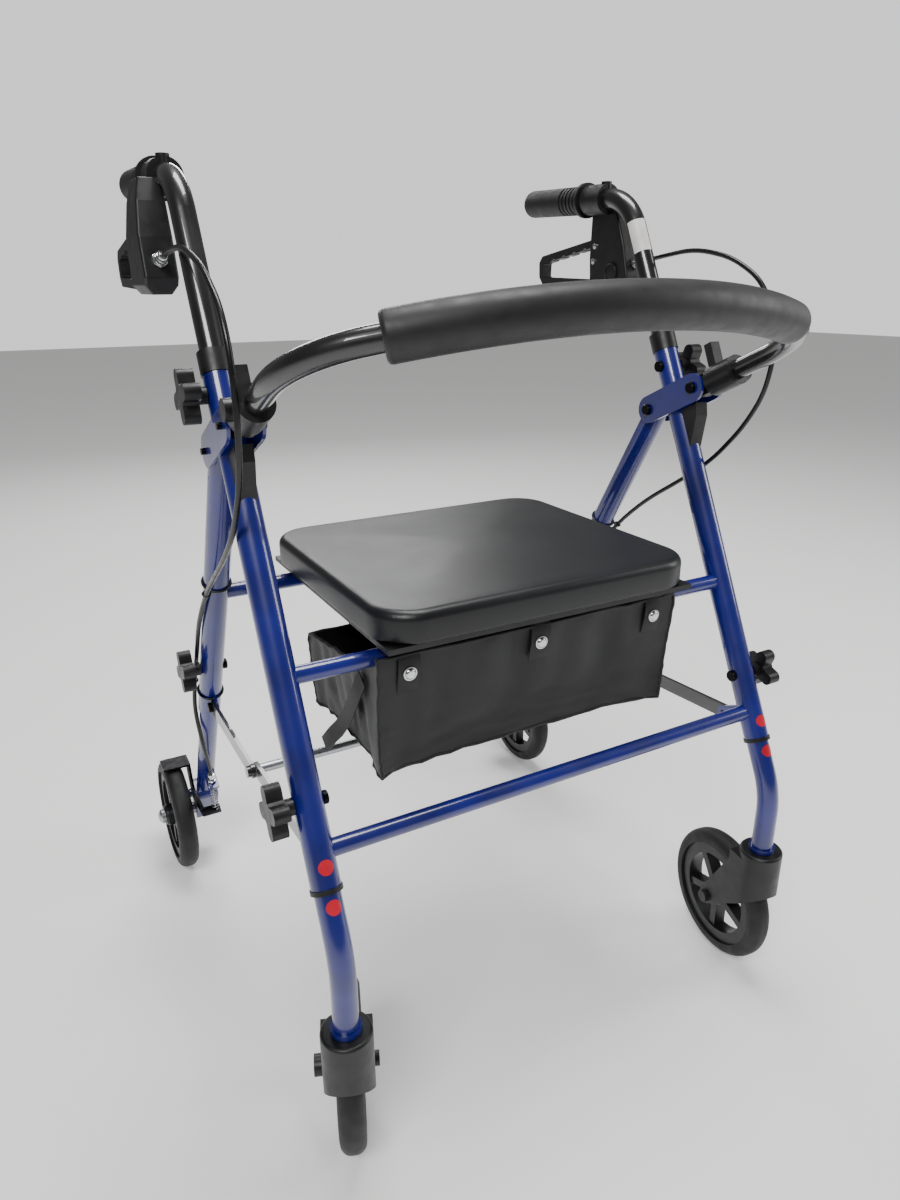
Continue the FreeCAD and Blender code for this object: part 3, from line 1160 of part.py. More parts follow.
def backrest_brackets():
    """Socket, tongue and knuckle on each backrest bolt, with a stop tab and a button well."""
    brackets = []
    start = size("backrest_tube_start")
    tube_radius = size("backrest_tube_od") / 2
    for word, side in SIDES:
        line = spot(plate_line(side), 0, 0, size("plate_span"))
        socket = Part.makeCylinder(size("socket_od") / 2, SOCKET_LENGTH, Vector(0, 0, start - 1))
        tongue = Part.makeBox(TONGUE_WIDTH, 2 * KNUCKLE_RADIUS, start + 2,
                              Vector(-TONGUE_WIDTH / 2, -KNUCKLE_RADIUS, 0))
        knuckle = Part.makeCylinder(KNUCKLE_RADIUS, TONGUE_WIDTH, Vector(-TONGUE_WIDTH / 2, 0, 0),
                                    Vector(1, 0, 0))
        tab = Part.makeBox(*TAB_SIZE, Vector(-TAB_SIZE[0] / 2, TAB_SIZE[0], start + 2))
        hole_length = 2 * size("socket_od")
        hole = Part.makeCylinder(size("bolt_od") / 2 + size("pin_clearance"), hole_length,
                                 Vector(-hole_length / 2, 0, 0), Vector(1, 0, 0))
        tube_bore = Part.makeCylinder(tube_radius, 2 * SOCKET_LENGTH, Vector(0, 0, start))
        well_at = Vector(side * (tube_radius + 0.2), 0, size("button_reach"))
        well = Part.makeCylinder(size("button_od") / 2 + size("slide_clearance"), size("socket_od"),
                                 well_at,
                                 Vector(side, 0, 0))
        shape = socket.fuse([tongue, knuckle, tab]).cut([hole, tube_bore, well]).removeSplitter()
        brackets.append(solid("bracket_" + word, shape, line))
    keep(group("backrest_brackets", brackets), "backrest_brackets")


def backrest_buttons():
    """Spring buttons that lock the backrest tube, proud of their sockets."""
    for word, side in SIDES:
        line = spot(plate_line(side), 0, 0, size("plate_span"))
        inner = size("backrest_tube_od") / 2 + size("button_travel") + BUTTON_GAP
        place = spot(line, side * inner, 0, size("button_reach"), Rotation(Vector(0, 1, 0), 90 * side))
        length = size("socket_od") / 2 + BUTTON_PROUD - inner
        keep(rod("backrest_button_" + word, "Sizes.button_od / 2", "%g" % length, place),
             "backrest_button_" + word)


# ---------------------------------------------------------------- seat and bag
CLIP_WALL = 4
CLIP_GROOVE_DEPTH = 1.6
CLIP_GROOVE_WIDTH = 2
BOARD_EDGE = 4
TOP_ROUNDING = 0.4


def seat_front():
    """Front edge of the seat, above the front bar's axis."""
    hinge = front_leg(LEFT).multVec(Vector(0, 0, size("seat_bar_place")))
    return Vector(0, hinge.y - size("seat_overhang"), hinge.z)


def seat_level():
    """Underside of the seat's board, just clear of the two bars that carry it."""
    back_bar = rear_leg(LEFT).multVec(Vector(0, 0, size("rear_bar_place")))
    return max(seat_front().z, back_bar.z) + size("crossbar_od") / 2 + size("slide_clearance")


def seat_clip(name, centre):
    """A hook round the front bar with two shallow grooves; `centre` is on the bar's axis."""
    bar = size("crossbar_od") / 2
    width = size("clip_width")
    across = Vector(1, 0, 0)
    start = centre - across * (width / 2)
    outer = bar + CLIP_WALL
    rise = seat_level() - centre.z + 1
    hook = Part.makeCylinder(outer, width, start, across)
    neck = Part.makeBox(width, 2 * outer, rise, start - Vector(0, outer, 0))
    bore = Part.makeCylinder(bar + size("slide_clearance"), width, start, across)
    grooves = []
    for share in (1 / 3, 2 / 3):
        groove_at = start + across * (width * share - CLIP_GROOVE_WIDTH / 2)
        around = Part.makeCylinder(2 * outer, CLIP_GROOVE_WIDTH, groove_at, across)
        core = Part.makeCylinder(outer - CLIP_GROOVE_DEPTH, CLIP_GROOVE_WIDTH, groove_at, across)
        grooves.append(around.cut(core))
    below = Part.makeBox(width, 4 * outer, 4 * outer,
                         Vector(start.x, centre.y - 2 * outer, seat_level() - 4 * outer - 0.1))
    grooves = [groove.common(below) for groove in grooves]
    return solid(name, hook.fuse(neck).cut([bore] + grooves).removeSplitter())


def seat_board():
    """Stiff seat base that hooks round the front bar and rests on the rear one."""
    front = seat_front()
    middle = Vector(0, front.y + size("seat_depth") / 2, seat_level() + size("seat_base_thickness") / 2)
    edge = " - %g" % (2 * BOARD_EDGE)
    board = slab("seat_board", "Sizes.seat_width" + edge, "Sizes.seat_depth" + edge,
                 "Sizes.seat_base_thickness",
                 Placement(middle, Rotation()))
    bar = front + Vector(0, size("seat_overhang"), 0)
    clips = [seat_clip("seat_clip_" + word, bar + Vector(side * size("clip_spacing") / 2, 0, 0)) for word,
             side in SIDES]
    keep(fuse("seat_base", board, *clips), "seat_base")


def seat_padding():
    """Padded seat: a thick slab with rounded corners and a rounded top edge."""
    low = seat_level() + size("seat_base_thickness")
    body = body_at("seat_padding", Placement(Vector(0, seat_front().y + size("seat_depth") / 2, low),
                                             Rotation()))
    outline = new_sketch(body, "padding_outline")
    across, along = "Sizes.seat_width / 2", "Sizes.seat_depth / 2"
    outline_in(outline, [("-(%s)" % across, "-(%s)" % along), (across, "-(%s)" % along), (across, along),
                         ("-(%s)" % across, along)])
    block = pad(body, outline, "Sizes.seat_cushion_thickness", "padding_pad")
    upright = [i + 1 for i, e in enumerate(block.Shape.Edges) if abs(e.tangentAt(e.FirstParameter).z) > 0.9]
    corners = body.newObject("PartDesign::Fillet", "padding_corners")
    corners.Base = (block, ["Edge%d" % i for i in upright])
    corners.setExpression("Radius", "Sizes.seat_corner")
    doc.recompute()
    top = max(e.CenterOfMass.z for e in corners.Shape.Edges)
    rim = [i + 1 for i, e in enumerate(corners.Shape.Edges) if abs(e.CenterOfMass.z - top) < 0.01]
    rounding = body.newObject("PartDesign::Fillet", "padding_rounding")
    rounding.Base = (corners, ["Edge%d" % i for i in rim])
    rounding.setExpression("Radius", "Sizes.seat_cushion_thickness * %g" % TOP_ROUNDING)
    body.Tip = rounding
    keep(body, "seat_cushion")


def bag_block(name, side_points, width, radius, place):
    """A block with upright rounded corners, drawn from the side."""
    body = body_at(name, place)
    outline = new_sketch(body, name + "_side", "YZ_Plane")
    outline_in(outline, side_points)
    block = pad(body, outline, width, name + "_pad", both_ways=True)
    upright = [i + 1 for i, e in enumerate(block.Shape.Edges) if abs(e.tangentAt(e.FirstParameter).z) > 0.9]
    corners = body.newObject("PartDesign::Fillet", name + "_corners")
    corners.Base = (block, ["Edge%d" % i for i in upright])
    corners.setExpression("Radius", radius)
    body.Tip = corners
    doc.recompute()
    return body


def bag():
    """Open-topped storage bag, lower at the back."""
    bar = front_leg(LEFT).multVec(Vector(0, 0, size("lower_bar_place")))
    place = Placement(Vector(0, bar.y + size("bag_behind_bar"), bar.z + size("bag_above_bar")), Rotation())
    depth, wall = "Sizes.bag_depth", "Sizes.bag_wall"
    side_view = [("0", "0"), (depth, "0"), (depth, "Sizes.bag_rear_height"),
                 ("0", "Sizes.bag_front_height")]
    outside = bag_block("bag_outside", side_view, "Sizes.bag_width", "Sizes.bag_corner", place)
    back = depth + " - " + wall
    above = "Sizes.bag_front_height * 1.2"
    room = [(wall, wall), (back, wall), (back, above), (wall, above)]
    inside = bag_block("bag_room", room, "Sizes.bag_width - 2 * Sizes.bag_wall",
                       "Sizes.bag_corner - Sizes.bag_wall", place)
    keep(cut("storage_bag", outside, inside), "storage_bag")


# ---------------------------------------------------------------- brake cables
# Each route is a list of points: distance outside the leg's axis, distance square to the leg,
# distance along it.  The loops are in the front leg's frame, first measured down from the
# handle's corner and then up from the bend; the last list is in the rear leg's frame.
LEFT_UNDER_HANDLE = [(20, -4, 71.7), (18, -58, 90.7), (17, -103, 123.7)]
LEFT_LOOP = [(17, -130, 520), (17, -135, 480), (17, -123, 443), (17, -100, 412), (17, -65, 390),
             (17, -13, 370),
             (17, 38, 362), (16, 106, 354)]
RIGHT_UNDER_HANDLE = [(20, -4, 71.7), (18, -42, 87.7), (17, -85, 125.7)]
RIGHT_LOOP = [(17, -110, 513), (17, -112, 479), (17, -99, 444), (17, -82, 413), (17, -57, 388),
              (17, -15, 365),
              (17, 37, 352), (16, 99, 345)]
DOWN_THE_REAR_LEG = [(14, 14, 170), (17, 0, 234), (14, -12, 303), (14, -18, 362), (16, -7, 408),
                     (12, 19, 447),
                     (4, 25, 493), (0, 28, 529)]
ROUTED_FOR_TUBE = 26
CORNER_SHARE = 0.45


def beside(frame, side, points, from_place=0, direction=1):
    """Points of a route beside a leg; thicker tubes push them further out."""
    spread = size("frame_tube_od") / ROUTED_FOR_TUBE
    return [frame.multVec(Vector(side * out * spread, off * spread, from_place + direction * along))
            for out, off, along in points]


def cable_route(side):
    """From the brake housing's mouth, round the free loop and down the rear leg to the stop."""
    leg, corner = front_leg(side), handle_frame(side).Base
    half_housing = size("housing_width") / 2
    mouth = corner + Vector(side * (size("housing_inset") + half_housing), *CABLE_MOUTH)
    under, loop = (LEFT_UNDER_HANDLE, LEFT_LOOP) if side == LEFT else (RIGHT_UNDER_HANDLE, RIGHT_LOOP)
    corner_place = (corner - leg.Base).Length
    route = [mouth] + beside(leg, side, under, corner_place, -1) + beside(leg, side, loop)
    return route + beside(rear_leg(side), side, DOWN_THE_REAR_LEG)


def bend_radii(route):
    """The largest arc at each corner that takes a fixed share of its shorter run."""
    radii = []
    for before, corner, after in zip(route, route[1:], route[2:]):
        turn = (corner - before).getAngle(after - corner)
        shorter = min((corner - before).Length, (after - corner).Length)
        radii.append(CORNER_SHARE * shorter / math.tan(turn / 2))
    return radii


def cables():
    """Both brake cables, with a printed check of bends, length and volume."""
    for word, side in SIDES:
        route = cable_route(side)
        radii = bend_radii(route)
        path = rounded_path(route, radii)
        shape = swept(path, size("cable_od"))
        section = math.pi * size("cable_od") ** 2 / 4
        print("brake_cable_%s: tightest bend %.0f, length %.0f, volume over section times length %.3f" % (
            word, min(radii), path.Length, shape.Volume / (section * path.Length)))
        keep(solid("brake_cable_" + word, shape), "brake_cable_" + word)


# ---------------------------------------------------------------- building and writing
for build_piece in (front_tube, crossbars, pivot_plates, front_bolts, tube_sleeves, rear_tube, rear_bolts,
                    lower_rear_leg, axle_bracket, rear_axle, brake_arm, braces, casters, wheels,
                    handle_tube, hand_grip, housing, lever, knobs, backrest, backrest_brackets,
                    backrest_buttons, seat_board, seat_padding, bag, cables):
    build_piece()
    doc.recompute()
for word, side in SIDES:
    lower_front_leg(word, side)
doc.recompute()

faults = [obj.Name for obj in doc.Objects if "Invalid" in obj.State or "Error" in obj.State]
faults += [obj.Label for obj in PARTS if obj.Shape.isNull() or not obj.Shape.isValid()]
if faults:
    raise RuntimeError("These pieces are faulty: %s" % faults)
os.makedirs("parts", exist_ok=True)
for obj in PARTS:
    obj.Shape.exportStep(os.path.join("parts", obj.Label + ".step"))
print("%d pieces written" % len(PARTS))
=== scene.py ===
import json
import math
import random

import bpy
from bpy.props import FloatProperty, IntProperty, PointerProperty
from mathutils import Matrix, Vector


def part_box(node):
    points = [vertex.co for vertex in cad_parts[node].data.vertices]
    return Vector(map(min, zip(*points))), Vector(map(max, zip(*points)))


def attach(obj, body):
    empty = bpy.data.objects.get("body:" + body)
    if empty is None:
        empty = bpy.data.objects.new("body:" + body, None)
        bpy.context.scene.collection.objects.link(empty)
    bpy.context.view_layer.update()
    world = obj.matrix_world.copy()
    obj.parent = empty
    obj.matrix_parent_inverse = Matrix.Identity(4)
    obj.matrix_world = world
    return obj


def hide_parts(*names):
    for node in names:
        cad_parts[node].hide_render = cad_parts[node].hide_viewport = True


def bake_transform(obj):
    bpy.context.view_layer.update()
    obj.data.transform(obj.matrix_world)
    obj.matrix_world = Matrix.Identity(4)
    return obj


bl_info = {
    "name": "Rollator walker looks",
    "version": (1, 0, 0),
    "blender": (4, 5, 0),
    "location": "3D View > Sidebar > Walker",
    "description": "Builds the finishes and soft pieces of a rollator walker round its CAD frame",
    "category": "Add Mesh",
}

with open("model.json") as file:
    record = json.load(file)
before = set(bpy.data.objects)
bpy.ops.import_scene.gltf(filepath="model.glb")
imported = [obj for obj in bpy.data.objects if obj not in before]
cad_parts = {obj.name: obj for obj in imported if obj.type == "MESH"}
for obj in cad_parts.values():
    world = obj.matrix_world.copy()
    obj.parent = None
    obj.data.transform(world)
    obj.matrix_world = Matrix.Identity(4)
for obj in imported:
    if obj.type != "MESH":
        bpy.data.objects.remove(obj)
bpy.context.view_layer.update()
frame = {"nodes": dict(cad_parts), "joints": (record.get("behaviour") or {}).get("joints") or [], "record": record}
NODES = frame["nodes"]
JOINTS = {joint["name"]: joint for joint in frame["joints"]}
SIDES = (("left", 1), ("right", -1))
ACROSS = Vector((1, 0, 0))


# ------------------------------------------------------------------ where things are
def joint_place(name):
    """Where a joint of the frame stands."""
    return Vector(JOINTS[name]["pos_m"])


LEG_UP = -Vector(JOINTS["front_leg_height_left"]["axis"])
LEG_BACK = Vector((0, LEG_UP.z, -LEG_UP.y))
REAR_DOWN = Vector(JOINTS["rear_leg_height_left"]["axis"])
REAR_AHEAD = Vector((0, REAR_DOWN.z, -REAR_DOWN.y))
BEND_HEIGHT = 0.2475
LEG_RADIUS = 0.013


def on_front_leg(side, along, back=0, out=0):
    """A point by its distance up the front leg from the bend, behind it and outside it."""
    swivel = joint_place("caster_swivel_left")
    bend = Vector((side * swivel.x, swivel.y, BEND_HEIGHT))
    return bend + LEG_UP * along + LEG_BACK * back + ACROSS * side * out


def on_rear_leg(side, down, ahead=0, out=0):
    """A point by its distance down the rear leg from its pivot, ahead of it and outside it."""
    pivot = joint_place("fold")
    pivot.x = side * joint_place("caster_swivel_left").x
    return pivot + REAR_DOWN * down + REAR_AHEAD * ahead + ACROSS * side * out


# ------------------------------------------------------------------ modelling helpers
def deselect():
    """Clears the selection."""
    bpy.ops.object.select_all(action="DESELECT")


def select_only(obj):
    """Makes one object the selected and active one."""
    deselect()
    obj.select_set(True)
    bpy.context.view_layer.objects.active = obj
    return obj


def settle(name):
    """Names the new object and moves its place into its mesh."""
    obj = bpy.context.object
    obj.name = name
    select_only(obj)
    bpy.ops.object.transform_apply(location=True, rotation=True, scale=True)
    return obj


def block(name, low, high):
    """A box between two corners."""
    low, high = Vector(low), Vector(high)
    deselect()
    bpy.ops.mesh.primitive_cube_add(size=1, location=(low + high) / 2, scale=high - low)
    return settle(name)


def turn_to(direction):
    """Rotation that points a primitive's own Z along a direction."""
    return Vector(direction).to_track_quat("Z", "Y").to_euler()


def rod(name, start, end, radius, sides=32, tip=None):
    """A cylinder between two points, or a cone when `tip` gives the radius at its end."""
    start, end = Vector(start), Vector(end)
    middle, span = (start + end) / 2, end - start
    deselect()
    if tip is None:
        bpy.ops.mesh.primitive_cylinder_add(vertices=sides, radius=radius, depth=span.length, location=middle,
                                            rotation=turn_to(span))
    else:
        bpy.ops.mesh.primitive_cone_add(vertices=sides, radius1=radius, radius2=tip, depth=span.length,
                                        location=middle, rotation=turn_to(span))
    return settle(name)


def ring(name, centre, direction, radius, thickness, segments=(40, 10)):
    """A torus round a direction; `thickness` is the radius of its section."""
    deselect()
    bpy.ops.mesh.primitive_torus_add(major_radius=radius, minor_radius=thickness, major_segments=segments[0],
                                     minor_segments=segments[1], location=centre, rotation=turn_to(direction))
    return settle(name)


def apply_modifier(obj, kind, name="step", **settings):
    """Adds one modifier with its settings and applies it."""
    select_only(obj)
    modifier = obj.modifiers.new(name, kind)
    for key, value in settings.items():
        setattr(modifier, key, value)
    bpy.ops.object.modifier_apply(modifier=modifier.name)
    return obj


def soften(obj, width, segments=3, angle=30):
    """Rounds the edges and shades the faces smooth."""
    apply_modifier(obj, "BEVEL", width=width, segments=segments, limit_method="ANGLE",
                   angle_limit=math.radians(angle))
    return smooth(obj)


def smooth(obj, angle=35):
    """Shades smooth, apart from edges sharper than the angle."""
    select_only(obj)
    bpy.ops.object.shade_smooth_by_angle(angle=math.radians(angle))
    return obj


def joined(name, objects):
    """Several objects as one."""
    deselect()
    for obj in objects:
        obj.select_set(True)
    bpy.context.view_layer.objects.active = objects[0]
    if len(objects) > 1:
        bpy.ops.object.join()
    objects[0].name = name
    return objects[0]


def wire(name, points, radius, smooth_line=True):
    """A round strand along a list of points, as a mesh."""
    curve = bpy.data.curves.new(name, "CURVE")
    curve.dimensions = "3D"
    curve.bevel_depth = radius
    curve.bevel_resolution = 4
    curve.use_fill_caps = True
    spline = curve.splines.new("NURBS" if smooth_line else "POLY")
    spline.points.add(len(points) - 1)
    for place, point in zip(spline.points, points):
        place.co = (*point, 1)
    if smooth_line:
        spline.order_u = 3
        spline.use_endpoint_u = True
        spline.resolution_u = 6
    obj = bpy.data.objects.new(name, curve)
    bpy.context.scene.collection.objects.link(obj)
    select_only(obj)
    bpy.ops.object.convert(target="MESH")
    return smooth(bpy.context.object)


def strap(name, points, width, thickness, across=ACROSS):
    """A flat band through a list of points, as wide as stated along `across`."""
    half = Vector(across) * width / 2
    mesh = bpy.data.meshes.new(name)
    first = Vector(points[0])
    mesh.from_pydata([first - half, first + half], [(0, 1)], [])
    obj = bpy.data.objects.new(name, mesh)
    bpy.context.scene.collection.objects.link(obj)
    select_only(obj)
    bpy.ops.object.mode_set(mode="EDIT")
    bpy.ops.mesh.select_all(action="SELECT")
    for before, after in zip(points, points[1:]):
        bpy.ops.mesh.extrude_region_move(TRANSFORM_OT_translate={"value": Vector(after) - Vector(before)})
    bpy.ops.mesh.select_all(action="SELECT")
    bpy.ops.mesh.normals_make_consistent(inside=False)
    bpy.ops.object.mode_set(mode="OBJECT")
    apply_modifier(obj, "SOLIDIFY", thickness=thickness, offset=0)
    apply_modifier(obj, "BEVEL", width=thickness * 0.3, segments=2, limit_method="ANGLE")
    return smooth(obj)


def dress(obj, body, material, replaces=()):
    """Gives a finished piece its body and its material."""
    obj.data.materials.clear()
    obj.data.materials.append(material)
    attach(obj, body)
    if replaces:
        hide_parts(*replaces)
    return obj


# ------------------------------------------------------------------ materials
def linear(hexcode):
    """Linear colour from an sRGB hex code."""
    channels = [int(hexcode[i:i + 2], 16) / 255 for i in (0, 2, 4)]
    return [c / 12.92 if c <= 0.04045 else ((c + 0.055) / 1.055) ** 2.4 for c in channels] + [1]


def add_node(tree, kind, inputs=None, **settings):
    """One shader node with its settings; an input can be a value or another node's socket."""
    node = tree.nodes.new("ShaderNode" + kind)
    for key, value in settings.items():
        setattr(node, key, value)
    for key, value in (inputs or {}).items():
        if isinstance(value, bpy.types.NodeSocket):
            tree.links.new(value, node.inputs[key])
        else:
            node.inputs[key].default_value = value
    return node


def new_material(name, colour, roughness, metallic=0.0, **constants):
    """A material with one principled shader; gives its tree, shader and place as well."""
    material = bpy.data.materials.new(name)
    material.use_nodes = True
    tree = material.node_tree
    shader = tree.nodes["Principled BSDF"]
    shader.inputs["Base Color"].default_value = linear(colour)
    shader.inputs["Roughness"].default_value = roughness
    shader.inputs["Metallic"].default_value = metallic
    for key, value in constants.items():
        shader.inputs[key.replace("_", " ")].default_value = value
    material.diffuse_color = linear(colour)
    place = add_node(tree, "TexCoord").outputs["Object"]
    return material, tree, shader, place


def grain(tree, shader, place, size, depth, detail=2.0, kind="Noise"):
    """Relief whose features are `size` metres across and `depth` metres deep."""
    if kind == "Noise":
        texture = add_node(tree, "TexNoise", {"Vector": place, "Scale": 1 / size, "Detail": detail})
        height = texture.outputs["Fac"]
    else:
        texture = add_node(tree, "TexVoronoi", {"Vector": place, "Scale": 1 / size})
        height = texture.outputs["Distance"]
    relief = add_node(tree, "Bump", {"Height": height, "Distance": depth, "Strength": 1.0})
    if shader.inputs["Normal"].is_linked:
        tree.links.new(shader.inputs["Normal"].links[0].from_socket, relief.inputs["Normal"])
    tree.links.new(relief.outputs["Normal"], shader.inputs["Normal"])
    return height


def vary(tree, shader, place, socket, size, low, high):
    """Lets one number of the shader wander softly between two values."""
    texture = add_node(tree, "TexNoise", {"Vector": place, "Scale": 1 / size, "Detail": 3.0})
    spread = add_node(tree, "MapRange", {"Value": texture.outputs["Fac"], "From Min": 0.3, "From Max": 0.7,
                                         "To Min": low, "To Max": high})
    tree.links.new(spread.outputs["Result"], shader.inputs[socket])


def tint(tree, shader, place, size, dark, light):
    """Lets the colour wander softly between two codes."""
    texture = add_node(tree, "TexNoise", {"Vector": place, "Scale": 1 / size, "Detail": 4.0})
    ramp = add_node(tree, "ValToRGB", {"Fac": texture.outputs["Fac"]})
    ramp.color_ramp.elements[0].position = 0.35
    ramp.color_ramp.elements[0].color = linear(dark)
    ramp.color_ramp.elements[1].position = 0.65
    ramp.color_ramp.elements[1].color = linear(light)
    tree.links.new(ramp.outputs["Color"], shader.inputs["Base Color"])


def glossy_coat(name, dark, light):
    """Baked powder coat: deep colour under a clear shine, with a faint orange-peel ripple."""
    material, tree, shader, place = new_material(name, light, 0.35, Coat_Weight=1.0, Coat_Roughness=0.04)
    tint(tree, shader, place, 0.05, dark, light)
    vary(tree, shader, place, "Roughness", 0.03, 0.3, 0.42)
    grain(tree, shader, place, 0.003, 0.000004)
    return material


def moulded(name, dark, light, roughness, size=0.0005, depth=0.00003, **constants):
    """Spark-textured moulding: a fine even grain that breaks up the shine."""
    material, tree, shader, place = new_material(name, light, roughness, **constants)
    tint(tree, shader, place, 0.02, dark, light)
    vary(tree, shader, place, "Roughness", 0.012, roughness - 0.06, roughness + 0.08)
    grain(tree, shader, place, size, depth)
    return material


def bare_metal(name, colour, low, high):
    """Plated or blackened steel: soft smears in the shine and fine handling marks."""
    material, tree, shader, place = new_material(name, colour, low, metallic=1.0)
    vary(tree, shader, place, "Roughness", 0.006, low, high)
    grain(tree, shader, place, 0.0004, 0.00001)
    return material


def woven(name, dark, light, thread, roughness):
    """Plain-weave cloth: two crossing sets of raised threads and a slight fuzz."""
    material, tree, shader, place = new_material(name, light, roughness, Sheen_Weight=0.08,
                                                 Sheen_Roughness=0.5)
    tint(tree, shader, place, 0.03, dark, light)
    heights = []
    for turn in (math.radians(45), math.radians(-45)):
        turned = add_node(tree, "Mapping", {"Vector": place, "Rotation": (0, turn, turn)})
        threads = add_node(tree, "TexWave", {"Vector": turned.outputs["Vector"], "Scale": 0.314 / thread,
                                             "Distortion": 0.6, "Detail": 1.0})
        heights.append(threads.outputs["Fac"])
    both = add_node(tree, "Math", {0: heights[0], 1: heights[1]}, operation="MULTIPLY")
    relief = add_node(tree, "Bump", {"Height": both.outputs[0], "Distance": thread * 0.25, "Strength": 0.6})
    tree.links.new(relief.outputs["Normal"], shader.inputs["Normal"])
    grain(tree, shader, place, 0.02, 0.0004)
    return material


def vinyl(name, dark, light):
    """Moulded foam skin: a pebbled leather grain, worn a little smoother in places."""
    material, tree, shader, place = new_material(name, light, 0.4)
    tint(tree, shader, place, 0.15, dark, light)
    vary(tree, shader, place, "Roughness", 0.08, 0.36, 0.42)
    grain(tree, shader, place, 0.0012, 0.00006, kind="Voronoi")
    grain(tree, shader, place, 0.004, 0.00005)
    return material


MATERIALS = {}


def make_materials():
    """Fills MATERIALS, one entry for each surface of the walker."""
    MATERIALS.update({
        "frame_paint": glossy_coat("Blue powder-coated tube", "020b62", "06137a"),
        "black_paint": glossy_coat("Black powder-coated tube", "050506", "0c0c0e"),
        "black_steel": bare_metal("Blackened steel fastener", "1c1c1e", 0.3, 0.45),
        "zinc_steel": bare_metal("Zinc-plated steel", "b4b6ba", 0.22, 0.4),
        "black_plastic": moulded("Grained black nylon moulding", "0b0b0c", "141416", 0.42),
        "wheel_plastic": moulded("Black wheel moulding", "0e0e0f", "18181a", 0.38),
        "tyre": moulded("Solid polyurethane tyre", "0d0d0e", "171718", 0.6, size=0.0008, depth=0.00005),
        "grip_rubber": moulded("Soft ribbed grip rubber", "0d0d0e", "161617", 0.55),
        "cable_jacket": moulded("Extruded cable sheath", "0a0a0b", "121213", 0.3, size=0.001, depth=0.00001),
        "bag_fabric": woven("Coated nylon pack cloth", "030304", "08080a", 0.0006, 0.5),
        "webbing": woven("Woven polyester webbing", "0a0a0b", "141416", 0.0012, 0.6),
        "seat_vinyl": vinyl("Moulded vinyl seat skin", "0b0c0f", "111316"),
        "foam_sleeve": moulded("Closed-cell foam skin", "0e0e0f", "171718", 0.5, size=0.0007, depth=0.00004,
                               Sheen_Weight=0.1),
        "button_plastic": moulded("Black button moulding", "0c0c0d", "151517", 0.35),
        "chrome": bare_metal("Polished nickel stud", "d9dadc", 0.08, 0.2),
        "red_vinyl": moulded("Red vinyl sticker", "b00f26", "cc1830", 0.35, size=0.002, depth=0.00001),
        "white_vinyl": moulded("White vinyl label", "dcdad6", "eeece8", 0.4, size=0.002, depth=0.00001),
    })


def finish_nodes():
    """Every CAD node takes the material of its record slot."""
    for entry in frame["record"]["subparts"]:
        obj = NODES[entry["node"]]
        material = MATERIALS[entry["material_slot"]]
        if not obj.data.materials:
            obj.data.materials.append(material)
        for index in range(len(obj.data.materials)):
            obj.data.materials[index] = material


# ------------------------------------------------------------------ settings
class WalkerSettings(bpy.types.PropertyGroup):
    seat_crown: FloatProperty(
        name="Seat crown", description="How far the middle of the seat stands above its rim",
        default=0.004, min=0.0, max=0.02, unit="LENGTH", subtype="DISTANCE")
    seat_corner: FloatProperty(
        name="Seat corner", description="Corner radius of the seat seen from above",
        default=0.042, min=0.01, max=0.08, unit="LENGTH", subtype="DISTANCE")
    bag_slack: FloatProperty(
        name="Bag slack", description="Share by which the bag's cloth is larger than its box",
        default=0.035, min=0.0, max=0.1, subtype="FACTOR")
    bag_sag_limit: FloatProperty(
        name="Bag sag limit", description="Furthest that the bag's cloth may leave its box",
        default=0.009, min=0.0, max=0.02, unit="LENGTH", subtype="DISTANCE")
    spring_turns: IntProperty(
        name="Spring turns", description="Turns of each brake return spring", default=9, min=3, max=20)
    lamp_power: FloatProperty(
        name="Lamp power", description="Power of the main softbox",
        default=55.0, min=1.0, max=500.0, unit="POWER")


# ------------------------------------------------------------------ seat
def select_in_edit(obj, kind, wanted):
    """Selects the edges or faces of an object that `wanted` accepts, and stays in edit mode."""
    select_only(obj)
    bpy.ops.object.mode_set(mode="EDIT")
    bpy.ops.mesh.select_mode(type=kind)
    bpy.ops.mesh.select_all(action="DESELECT")
    bpy.ops.object.mode_set(mode="OBJECT")
    for item in (obj.data.edges if kind == "EDGE" else obj.data.polygons):
        item.select = wanted(item)
    bpy.ops.object.mode_set(mode="EDIT")


def eased(share):
    """Runs from 0 to 1 with a soft start and a soft end."""
    share = min(max(share, 0), 1)
    return share * share * (3 - 2 * share)


def edge_ends(obj, edge):
    """Both end points of an edge."""
    return [obj.data.vertices[index].co for index in edge.vertices]


SEAT_TOP_ROUNDING = 0.009
SEAT_UNDER_ROUNDING = 0.004
CROWN_STEPS = 10


